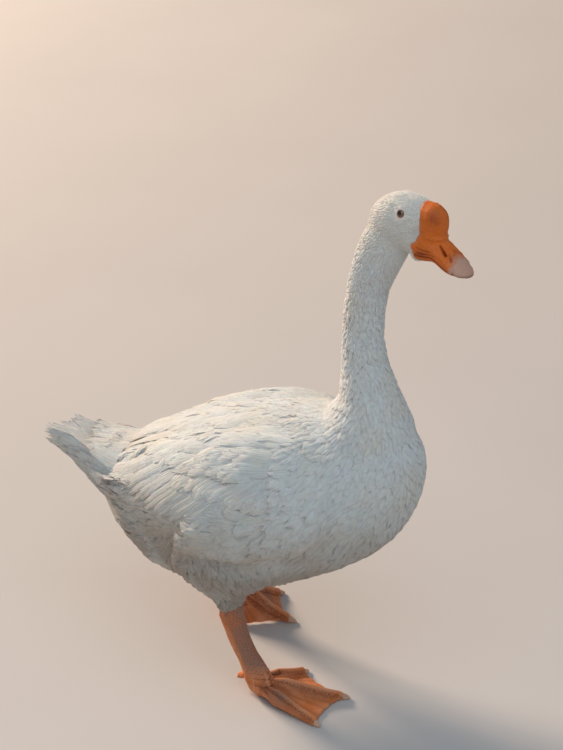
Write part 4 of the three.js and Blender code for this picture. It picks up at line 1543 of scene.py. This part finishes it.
def sheet(points: Array, inside: Array) -> Surface:
    """A surface through a grid of points, facing away from a place."""
    grid = np.arange(points.shape[0] * points.shape[1]).reshape(points.shape[:2])
    quads = np.stack((grid[:-1, :-1], grid[:-1, 1:], grid[1:, 1:], grid[1:, :-1]), -1).reshape(-1, 4)
    corners = np.vstack((quads[:, (0, 1, 2)], quads[:, (0, 2, 3)]))
    points = points.reshape(-1, 3)
    a, b, c = (points[corners[:, k]] for k in range(3))
    normals = unit(np.cross(b - a, c - a))
    normals *= np.sign((normals * ((a + b + c) / 3 - inside)).sum(1, keepdims=True))
    return Surface(points, corners, normals)


@dataclass
class Tail:
    """The tail's fan of stiff feathers, cupped to a trough, with coverts over its roots and under it."""

    ROOT: ClassVar[Triple] = (0.0, -148.0, 214.0)  # left, forward and height
    CLIMB: ClassVar[float] = math.tan(math.radians(11.0))  # how far the fan rises for each millimetre back
    HULL: ClassVar[Trough] = Trough(
        back=(100, 122, 148, 164, 187, 210, 226),
        half=(52, 47, 41, 34, 29, 29, 28),
        brim=(196, 202, 211, 218, 226, 231, 233),
        apex=(146, 160, 171, 182, 205, 224, 230),
        skew=8.0,
        inside=(-150.0, 225.0),
    )
    LID: ClassVar[Trough] = Trough(
        back=(116, 135, 150, 168, 190, 215),
        half=(52, 45, 40, 33, 29, 30),
        brim=(205, 210, 216, 226, 232, 238),
        apex=(241, 234, 231, 228, 228, 231),
        skew=4.0,
        inside=(-150.0, 120.0),
    )

    coat: Coat
    spread: float = 10.0  # degrees to each side
    base: float = 18.0  # half the width of the fan's root
    cup: Pair = (6.0, 13.0)  # how high the left side and the right side stand
    length: float = 76.0
    count: int = 16
    width: float = 18.0
    chance: float = 0.06  # how much lengths and bends differ
    under_turns: Pair = (-104.0, 92.0)  # degrees round the hull
    under_rows: tuple[tuple[float, int, float], ...] = (
        (112, 15, 48), (125, 15, 48), (138, 13, 48), (150, 13, 48), (161, 12, 46), (171, 11, 40),
        (180, 9, 34),
    )  # how far back each row stands, its count and its feathers' length
    upper_turns: Pair = (-88.0, 88.0)
    upper_count: int = 13
    upper_rows: tuple[float, ...] = (126.0, 137.0, 148.0, 157.0)  # how far back each row stands
    upper_end: float = 174.0  # how far back their tips reach at the middle
    upper_skew: float = 11.0  # how much farther at the left edge
    upper_shortest: float = 18.0
    covert_way: Triple = (0.0, 1.0, 0.3)  # left, back and up
    covert_lift: Pair = (2.2, 3.2)
    levels: Pair = (212.0, 178.0)  # heights between the coat's feathers over, beside and under the tail
    ends: Triple = (160.0, 154.0, 178.0)  # how far back those three reach
    last_roots: Pair = (138.0, 150.0)  # how far back the last ones root, and those under the tail
    shortest: float = 16.0
    arch: float = 2.2  # how much higher the fan's middle feathers stand

    @classmethod
    def sunken(cls, points: Array) -> Array:
        """The skin's points with the tail's upper side lowered under the fan."""
        _, forward, height = cls.ROOT
        top = height - 3.5 + (points[:, 1] + forward) * cls.CLIMB
        share = ramp(points[:, 1], 148, 168) * (points[:, 2] > top)
        moved = points.copy()
        moved[:, 2] += share * (top - points[:, 2])
        return moved

    def dish(self) -> Surface:
        """The surface that the fan lies on, which runs on past the fan's edges and end."""
        across, along = np.linspace(-1.3, 1.3, 29), np.linspace(-12, self.length + 30, 24)
        share, far = np.meshgrid(across, along, indexing="ij")
        turn = np.radians(self.spread) * share
        left, forward, height = self.ROOT
        height = height + far * self.CLIMB
        cup = np.where(share > 0, *self.cup)
        height = height + cup * share**2 * np.clip(0.25 + far / self.length, 0, 1.2)
        left = left + share * self.base + np.sin(turn) * far
        return sheet(spot(left, forward - np.cos(turn) * far, height), spot(0.0, -180.0, 0.0))

    def coverts(self, planting: Planting) -> Planting:
        """The coat's feathers near the tail, no longer than fits."""
        back, height = planting.roots[:, 1], planting.roots[:, 2]
        over, beside = (height > level for level in self.levels)
        reach = np.where(over, self.ends[0], np.where(beside, *self.ends[1:])) - back
        planting = replace(planting, length=np.minimum(planting.length, reach), lift=planting.lift * 0.7)
        return planting.kept((reach > self.shortest) & (back < np.where(beside, *self.last_roots)))

    def _row(self, rng: Chance, trough: Trough, back: float, turn: Array, length: Reading) -> Planting:
        """A row of coverts across a trough.

        Args:
            rng: the source of chance.
            trough: what they lie on.
            back: how far behind the middle they root.
            turn: their places round the arch, in radians.
            length: their lengths.

        Returns:
            The feathers.
        """
        count = len(turn)
        turn = turn + rng.normal(0, 0.04, count)
        return Planting(
            roots=trough.at(turn, back + rng.normal(0, 2.0, count)),
            way=np.array(self.covert_way),
            length=length * (1 + rng.uniform(-0.1, 0.1, count)),
            width=self.width,
            base=-1.0,
            lift=rng.uniform(*self.covert_lift, count),
            turn=rng.normal(0, self.chance, count),
        )

    def _under(self, rng: Chance) -> None:
        """Grows the coverts under the tail, row behind row."""
        rows = []
        for back, count, length in self.under_rows:
            turn = np.radians(np.linspace(*self.under_turns, count))
            rows.append(self._row(rng, self.HULL, back, turn, length))
        self.coat.grow("tail_under", stacked(rows), FLUFF, rng, (), self.HULL.surface())

    def _upper(self, rng: Chance) -> None:
        """Grows the coverts over the fan's roots, which reach farther back on the left."""
        rows = []
        for back in self.upper_rows:
            turn = np.radians(np.linspace(*self.upper_turns, self.upper_count))
            length = self.upper_end + self.upper_skew * np.sin(turn) - back
            long_enough = length > self.upper_shortest
            rows.append(self._row(rng, self.LID, back, turn[long_enough], length[long_enough]))
        self.coat.grow("tail_coverts", stacked(rows), FLUFF, rng, (), self.LID.surface())

    def build(self, rng: Chance) -> None:
        """Grows the fan, which stands for the CAD fan, and the coverts round it."""
        share = np.linspace(-1, 1, self.count)
        turn = np.radians(self.spread) * share
        left, forward, height = self.ROOT
        middle = 1 - np.abs(share)
        size = (0.92 + 0.08 * middle) * (1 - 0.16 * np.maximum(share, 0))
        fan = Planting(
            roots=spot(left + share * self.base, forward, height),
            way=unit(np.stack((np.sin(turn), np.cos(turn), np.full(self.count, self.CLIMB)), 1)),
            length=self.length * size * (1 + rng.uniform(-self.chance, self.chance, self.count)),
            width=self.width,
            base=1.0 + self.arch * middle,
            lift=1.0 + self.arch * middle + rng.uniform(-1.5, 1.5, self.count),
            turn=rng.normal(0, self.chance, self.count),
            tilt=0.10 * np.sign(share),
        )
        self.coat.grow("tail_feathers", fan, RECTRIX, rng, ("tail_fan",), self.dish())
        self._under(rng)
        self._upper(rng)


@dataclass
class Contour:
    """The coat all over the bird: tufts on head and neck, locks on the body."""

    coat: Coat
    eyes: Eyes
    tail: Tail
    first_lock: float = 11.0  # the length from which a feather is drawn as a lock
    spread: float = 0.22  # how much sizes differ from one feather to the next
    turn: float = 0.22  # radians
    astray: float = 0.12  # how much ways differ
    tilt: float = 0.05  # radians
    steepest: float = 0.78  # how squarely a feather may leave the skin
    beside_lid: float = 0.35  # how far from a lid the coat begins
    smallest: float = 0.3  # the size of the feathers beside a lid, as a share
    full: tuple[float, ...] = (12.0, 5.0, 0.0, 3.2, 0.0)  # what flank and shoulder add to the Growth sizes
    flatter: float = 0.55  # how much less feathers under the wing's rows lift
    legs: float = 118.0  # height of the thighs' lower ends
    split: float = 215.0  # height between upper and lower pieces
    rear: float = -122.0  # how far forward the coverts of the tail begin
    bands: tuple[tuple[str, float, float], ...] = (
        ("breast", 75, 400), ("shoulders", 5, 75), ("flanks", -65, 5), ("rear", rear, -65),
    )  # how far forward each band of pieces begins and ends

    def build(self, rng: Chance) -> None:
        """Grows the whole coat, in pieces by region."""
        planting = self._planting(rng)
        lock = planting.length > self.first_lock
        forward, height = -planting.roots[:, 1], planting.roots[:, 2]
        head = height > node_middle("neck_upper", (0, 0, 0.6))[2]
        legs = height < self.legs
        for word, mask in (("head", head), ("neck", ~head & ~legs), ("cuffs", legs)):
            self.coat.grow(f"plumage_{word}", planting.kept(~lock & mask), TUFT, rng)
        for word, rear, front in self.bands:
            here = lock & (forward >= rear) & (forward < front)
            for part, mask in (("upper", height >= self.split), ("lower", height < self.split)):
                self.coat.grow(f"plumage_{word}_{part}", planting.kept(here & mask), LOCK, rng)
        tail = planting.kept(lock & (forward < self.rear))
        self.coat.grow("plumage_tail", self.tail.coverts(tail), LOCK, rng)

    def _planting(self, rng: Chance) -> Planting:
        """All the coat's feathers."""
        lie = self.coat.lie
        roots = self.coat.skin.scatter(rng, lie)
        _, normals, _ = self.coat.skin.nearest(roots)
        way, sizes = lie.sample(roots)
        bare = (self.eyes.clearance(roots) < self.beside_lid) | ((way * normals).sum(1) > self.steepest)
        bare |= (Sides.wing_end(roots) > 0.5) | (self.eyes.head.before_feathers(roots) > -0.2)
        roots, way, sizes = (rows[~bare] for rows in (roots, way, sizes))
        small = self.smallest + (1 - self.smallest) * ramp(self.eyes.clearance(roots), 0.2, 5.0)
        sizes[:, (0, 3)] *= small[:, None]
        sizes = sizes + np.maximum(Sides.flank(roots), Sides.shoulder(roots))[:, None] * self.full
        sizes[:, 3] *= 1 - self.flatter * Sides.wing(roots)
        chance = 1 + self.spread * rng.uniform(-1, 1, (len(roots), 3))
        return Planting(
            roots=roots,
            way=unit(way + rng.normal(0, self.astray, way.shape)),
            length=sizes[:, 0] * chance[:, 0],
            width=sizes[:, 1] * chance[:, 1],
            base=0.1 * sizes[:, 3],
            lift=sizes[:, 3] * chance[:, 2],
            turn=self.turn * rng.normal(0, 1, len(roots)),
            tilt=rng.normal(0, self.tilt, len(roots)),
            follow=1.0,
        )


# ---------------------------------------------------------------- legs


@dataclass
class Leg:
    """One bare leg: shank and webbed foot under one scaly skin, and four claws."""

    side: Side
    skin: Material
    horn: Material
    voxel: float = 0.85
    claw_voxel: float = 0.35
    scale: float = 2.3  # from one scale of the net to the next
    scute: float = 3.2  # from one band on a toe to the next
    plain: float = 4.2  # how far from a toe's line the net of scales begins
    line: float = 0.9  # width of the line between two scales
    groove: float = 0.42  # depth of that line
    swell: float = 0.18  # how far a scale stands out
    ridge: float = 1.7  # height of the line along a toe
    valley: float = 0.7  # depth beside it
    web_fold: float = 0.3
    tuck: float = 8.0  # how far the shank runs on up into the feathers
    bow: float = 4.2  # how far back the shank's middle stands
    creases: tuple[Pair, ...] = ((17.0, 0.9), (20.4, 0.35), (25.0, 0.6), (30.5, 0.3))  # heights and depths
    crease_width: float = 0.85
    flat: float = 1.2  # the relief fades out this far above the ground

    def build(self, rng: Chance) -> None:
        """Models the leg and its claws."""
        word = self.side.word
        nodes = (f"shank_{word}", f"foot_{word}")
        leg = merged_copy(f"leg_{word}", nodes)
        remesh(leg, self.voxel)
        smooth(leg, 7)
        points = self._tucked(points_of(leg))
        reshape(leg, points)
        near, second = self._cells(rng, points)
        line = 1 - linear(second - near, 0, self.line) ** 0.7
        web, fold = self._web_folds(points)
        line = line * (1 - 0.75 * web)
        ridge, valley = self._toe_ridges(points)
        crease = self._creases(points)
        height = self.swell - self.groove * line + fold + self.ridge * ridge - self.valley * valley - crease
        height = height * linear(points[:, 2], 0, self.flat)
        reshape(leg, points + normals_of(leg) * height[:, None])
        # Shade: darker lines between the scales, painted shade in the ankle's creases, the valleys beside
        # the toes and the web folds' troughs, and a painted highlight, taken off it, on the toe ridges and
        # fold crests.
        shade = 0.62 * line - fold * 0.5 + 0.75 * crease + 0.4 * valley - 0.5 * ridge
        record(leg, "shade", np.clip(shade, 0, 1))
        record(leg, "dust", self._dust(points))
        # The toe ridges are painted paler: a painted highlight.
        record(leg, "ridge", np.clip(ridge, 0, 1))
        finish_piece(leg, self.skin, nodes)
        for toe in ("inner", "middle", "outer", "hind"):
            self._claw(f"claw_{toe}_{word}")

    def _tucked(self, points: Array) -> Array:
        """The leg with its shank a little bent, and its upper end run on into the feathers."""
        top = node_middle(f"shank_{self.side.word}", (0.5, 0.5, 1.0))[2]
        moved = points.copy()
        moved[:, 1] += self.bow * hill(points[:, 2] - 0.62 * top, 0.27 * top)
        moved[:, 2] += self.tuck * linear(points[:, 2] - top, -8, 0)
        return moved

    def _ankle(self) -> Array:
        """The middle of the shank's lower end."""
        shank = f"shank_{self.side.word}"
        points = points_of(frame["nodes"][shank])
        low = points[points[:, 2] < points[:, 2].min() + 12]
        return np.array((low[:, 0].mean(), low[:, 1].mean(), node_middle(shank, (0.5, 0.5, 0.0))[2]))

    def _toes(self) -> list[tuple[Array, Array]]:
        """Each front toe's line, from the ankle to its claw."""
        ankle = self._ankle()
        return [(ankle, node_middle(f"claw_{toe}_{self.side.word}")) for toe in ("inner", "middle", "outer")]

    def _beside_toes(self, points: Array) -> list[Columns]:
        """How far points are from each front toe's line as seen from above, and how far along it."""
        return [from_segment(points * PLAN, start * PLAN, end * PLAN) for start, end in self._toes()]

    def _cells(self, rng: Chance, points: Array) -> Columns:
        """How far each point is from the nearest and the second nearest scale's middle."""
        nest = thinned(points[rng.permutation(len(points))], self.scale)
        clear = np.ones(len(nest), bool)
        for away, share in self._beside_toes(nest):
            clear &= (away > self.plain) | (share < 0.12)
        bands = []
        for start, end in self._toes():
            steps = int(np.linalg.norm((end - start)[:2]) / self.scute)
            for k in range(2, steps):
                below = start + (end - start) * k / steps
                over = points[np.linalg.norm(points[:, :2] - below[:2], axis=1) < 2.0]
                if len(over):
                    bands.append(over[over[:, 2].argmax()])
        middles = np.vstack((nest[clear], np.array(bands)))
        tree = KDTree(len(middles))
        for index, middle in enumerate(middles):
            tree.insert(middle, index)
        tree.balance()
        found = [tree.find_n(point, 2) for point in points.tolist()]
        return np.array([hit[0][2] for hit in found]), np.array([hit[1][2] for hit in found])

    def _web_folds(self, points: Array) -> Columns:
        """How much points belong to a web, and the folds there that run out from the ankle."""
        ankle = self._ankle()
        away = np.min([away for away, _ in self._beside_toes(points)], axis=0)
        turn = np.arctan2(points[:, 0] - ankle[0], -(points[:, 1] - ankle[1]))
        web = linear(away, 4, 8) * linear(points[:, 2], 30, 20)
        return web, self.web_fold * web * np.sin(turn * 34 + np.sin(turn * 9) * 1.5)

    def _toe_ridges(self, points: Array) -> Columns:
        """The narrow raised line along each toe, and the valleys beside it."""
        ridge = np.zeros(len(points))
        valley = np.zeros(len(points))
        for away, share in self._beside_toes(points):
            here = ramp(share, 0.16, 0.3) * ramp(share, 1.0, 0.93) * ramp(points[:, 2], 2.5, 5.0)
            ridge = np.maximum(ridge, here * hill(away, 1.7))
            valley = np.maximum(valley, here * hill(away - 4.6, 2.0))
        return ridge, valley

    def _creases(self, points: Array) -> Array:
        """How deep the creases across the ankle's front are."""
        ahead = self._ankle()[1] - points[:, 1]
        depth = np.zeros(len(points))
        for height, deep in self.creases:
            wave = 0.7 * np.sin(points[:, 0] * 0.35 + height)
            level = points[:, 2] - height + 0.12 * (ahead - 16) + wave
            depth += deep * hill(level, self.crease_width)
        return depth * (ramp(ahead, 3, 9) * ramp(ahead, 27, 21))

    def _dust(self, points: Array) -> Array:
        """Where dust clings: on the shank's front and over the outer toe's root."""
        ankle = self._ankle()
        out = (points[:, 0] - ankle[0]) * self.side.value
        ahead = ankle[1] - points[:, 1]
        behind = -ahead - 0.33 * (points[:, 2] - ankle[2]) + 6
        shank = ramp(points[:, 2], 24, 44) * ramp(behind, 7, 1)
        patch = hill(np.hypot(out - 15, ahead - 36), 14.0) * ramp(points[:, 2], 6, 10)
        return np.clip(shank + patch, 0, 1)

    def _claw(self, node: str) -> None:
        """One smooth claw over its CAD node."""
        claw = merged_copy(f"horn_{node}", (node,))
        remesh(claw, self.claw_voxel)
        smooth(claw, 6)
        for name in ("shade", "pale"):
            record(claw, name, np.zeros(len(claw.data.vertices)))
        finish_piece(claw, self.horn, (node,))


# ---------------------------------------------------------------- the studio


@dataclass
class Studio:
    """A pale floor, soft lights and the camera."""

    azimuth: float = -68.0
    away: float = 1488.0  # level distance of the camera from the bird's middle line
    height: float = 1121.0
    aim_height: float = 336.9
    aim_forward: float = 32.4
    stand_off: Pair = (0.0, 14.94)  # the camera's turning point, left and forward
    lens: float = 84.96
    sensor: float = 36.0
    light_aim: Triple = (0.0, 0.0, 0.25)  # the place that the lights face, in metres
    floor_side: float = 40.0  # metres
    surround: Colour = (0.66, 0.71, 0.78, 1)
    surround_strength: float = 0.40

    def build(self) -> None:
        """Makes the floor, lights, surround and camera."""
        bpy.context.scene.view_settings.view_transform = "Standard"
        self._floor()
        self._world()
        self._light("key", 159.0, 25.0, 7.0, 690.0, (1.0, 0.76, 0.57), 1.6)
        self._light("sky", -66.0, 60.0, 1.1, 3.6, (0.85, 0.93, 1.0), 1.0)
        self._light("front", -30.0, 18.0, 3.0, 7.0, (0.80, 0.90, 1.0), 1.8)
        self._camera()

    def _floor(self) -> None:
        """A level, pale floor, large enough to reach past the picture."""
        bpy.ops.object.select_all(action="DESELECT")
        bpy.ops.mesh.primitive_plane_add(size=self.floor_side)
        floor = bpy.context.object
        floor.name = "floor"
        shader = Shader("pale_floor")
        grain = shader.noise(shader.place(), 300.0)
        colour = shader.mixed(grain, (0.56, 0.55, 0.54, 1), (0.60, 0.59, 0.58, 1))
        floor.data.materials.append(shader.dress(Base_Color=colour, Roughness=0.9))

    def _world(self) -> None:
        """A pale surround."""
        world = bpy.data.worlds.new("surround")
        world.use_nodes = True
        background = world.node_tree.nodes["Background"]
        background.inputs["Color"].default_value = self.surround
        background.inputs["Strength"].default_value = self.surround_strength
        bpy.context.scene.world = world

    def _light(self, name: str, azimuth: float, elevation: float, distance: float, power: float,
               colour: Triple, size: float) -> None:
        """A square soft light that faces the bird.

        Args:
            name: its name.
            azimuth: the side that it stands on, in degrees as the camera's.
            elevation: its height over the horizon, in degrees.
            distance: how far away it is, in metres.
            power: watts.
            colour: red, green and blue.
            size: its side, in metres.
        """
        data = bpy.data.lights.new(name, "AREA")
        data.energy, data.color, data.size = power, colour, size
        lamp = bpy.data.objects.new(name, data)
        bpy.context.scene.collection.objects.link(lamp)
        turn, rise = math.radians(azimuth), math.radians(elevation)
        way = Vector((math.sin(turn) * math.cos(rise), -math.cos(turn) * math.cos(rise), math.sin(rise)))
        lamp.location = Vector(self.light_aim) + way * distance
        lamp.rotation_mode = "QUATERNION"
        lamp.rotation_quaternion = way.to_track_quat("Z", "Y")

    def _camera(self) -> None:
        """The camera, which looks down a little from the bird's right front."""
        data = bpy.data.cameras.new("camera")
        data.sensor_width, data.lens = self.sensor, self.lens
        camera = bpy.data.objects.new("camera", data)
        bpy.context.scene.collection.objects.link(camera)
        turn = math.radians(self.azimuth)
        pivot = spot(*self.stand_off, 0.0)
        place = pivot + self.away * np.array((math.sin(turn), -math.cos(turn), 0)) + (0, 0, self.height)
        aim = spot(0.0, self.aim_forward, self.aim_height)
        camera.location = Vector(place) * MM
        camera.rotation_mode = "QUATERNION"
        camera.rotation_quaternion = Vector(place - aim).to_track_quat("Z", "Y")
        bpy.context.scene.camera = camera


# ---------------------------------------------------------------- the whole bird


def main() -> None:
    """Builds the bird piece by piece, then the studio round it."""
    logging.basicConfig(level=logging.INFO, format="%(name)s: %(message)s")
    Studio().build()

    plumage = Plumage().material()
    legs = ScalySkin().material()

    head = HeadFrame()
    eyes = Eyes(head, WetEye().material(), BARE_LID.material())
    eyes.build()
    Bill(head, ORANGE_HORN.material(), PALE_HORN.material()).build()
    claws = CLAW_HORN.material()
    for side in Side:
        Leg(side, legs, claws).build(np.random.default_rng(LEG_SEED + side.value))

    lie = coat_lie()
    skin = Skin(lie, eyes, plumage).build()
    coat = Coat(Surface.of(skin), plumage, lie)
    tail = Tail(coat)
    growers = (Contour(coat, eyes, tail), Tracts(coat), tail)
    for grower, seed in zip(growers, COAT_SEEDS):
        grower.build(np.random.default_rng(seed))

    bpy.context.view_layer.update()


if __name__ == "__main__":
    main()
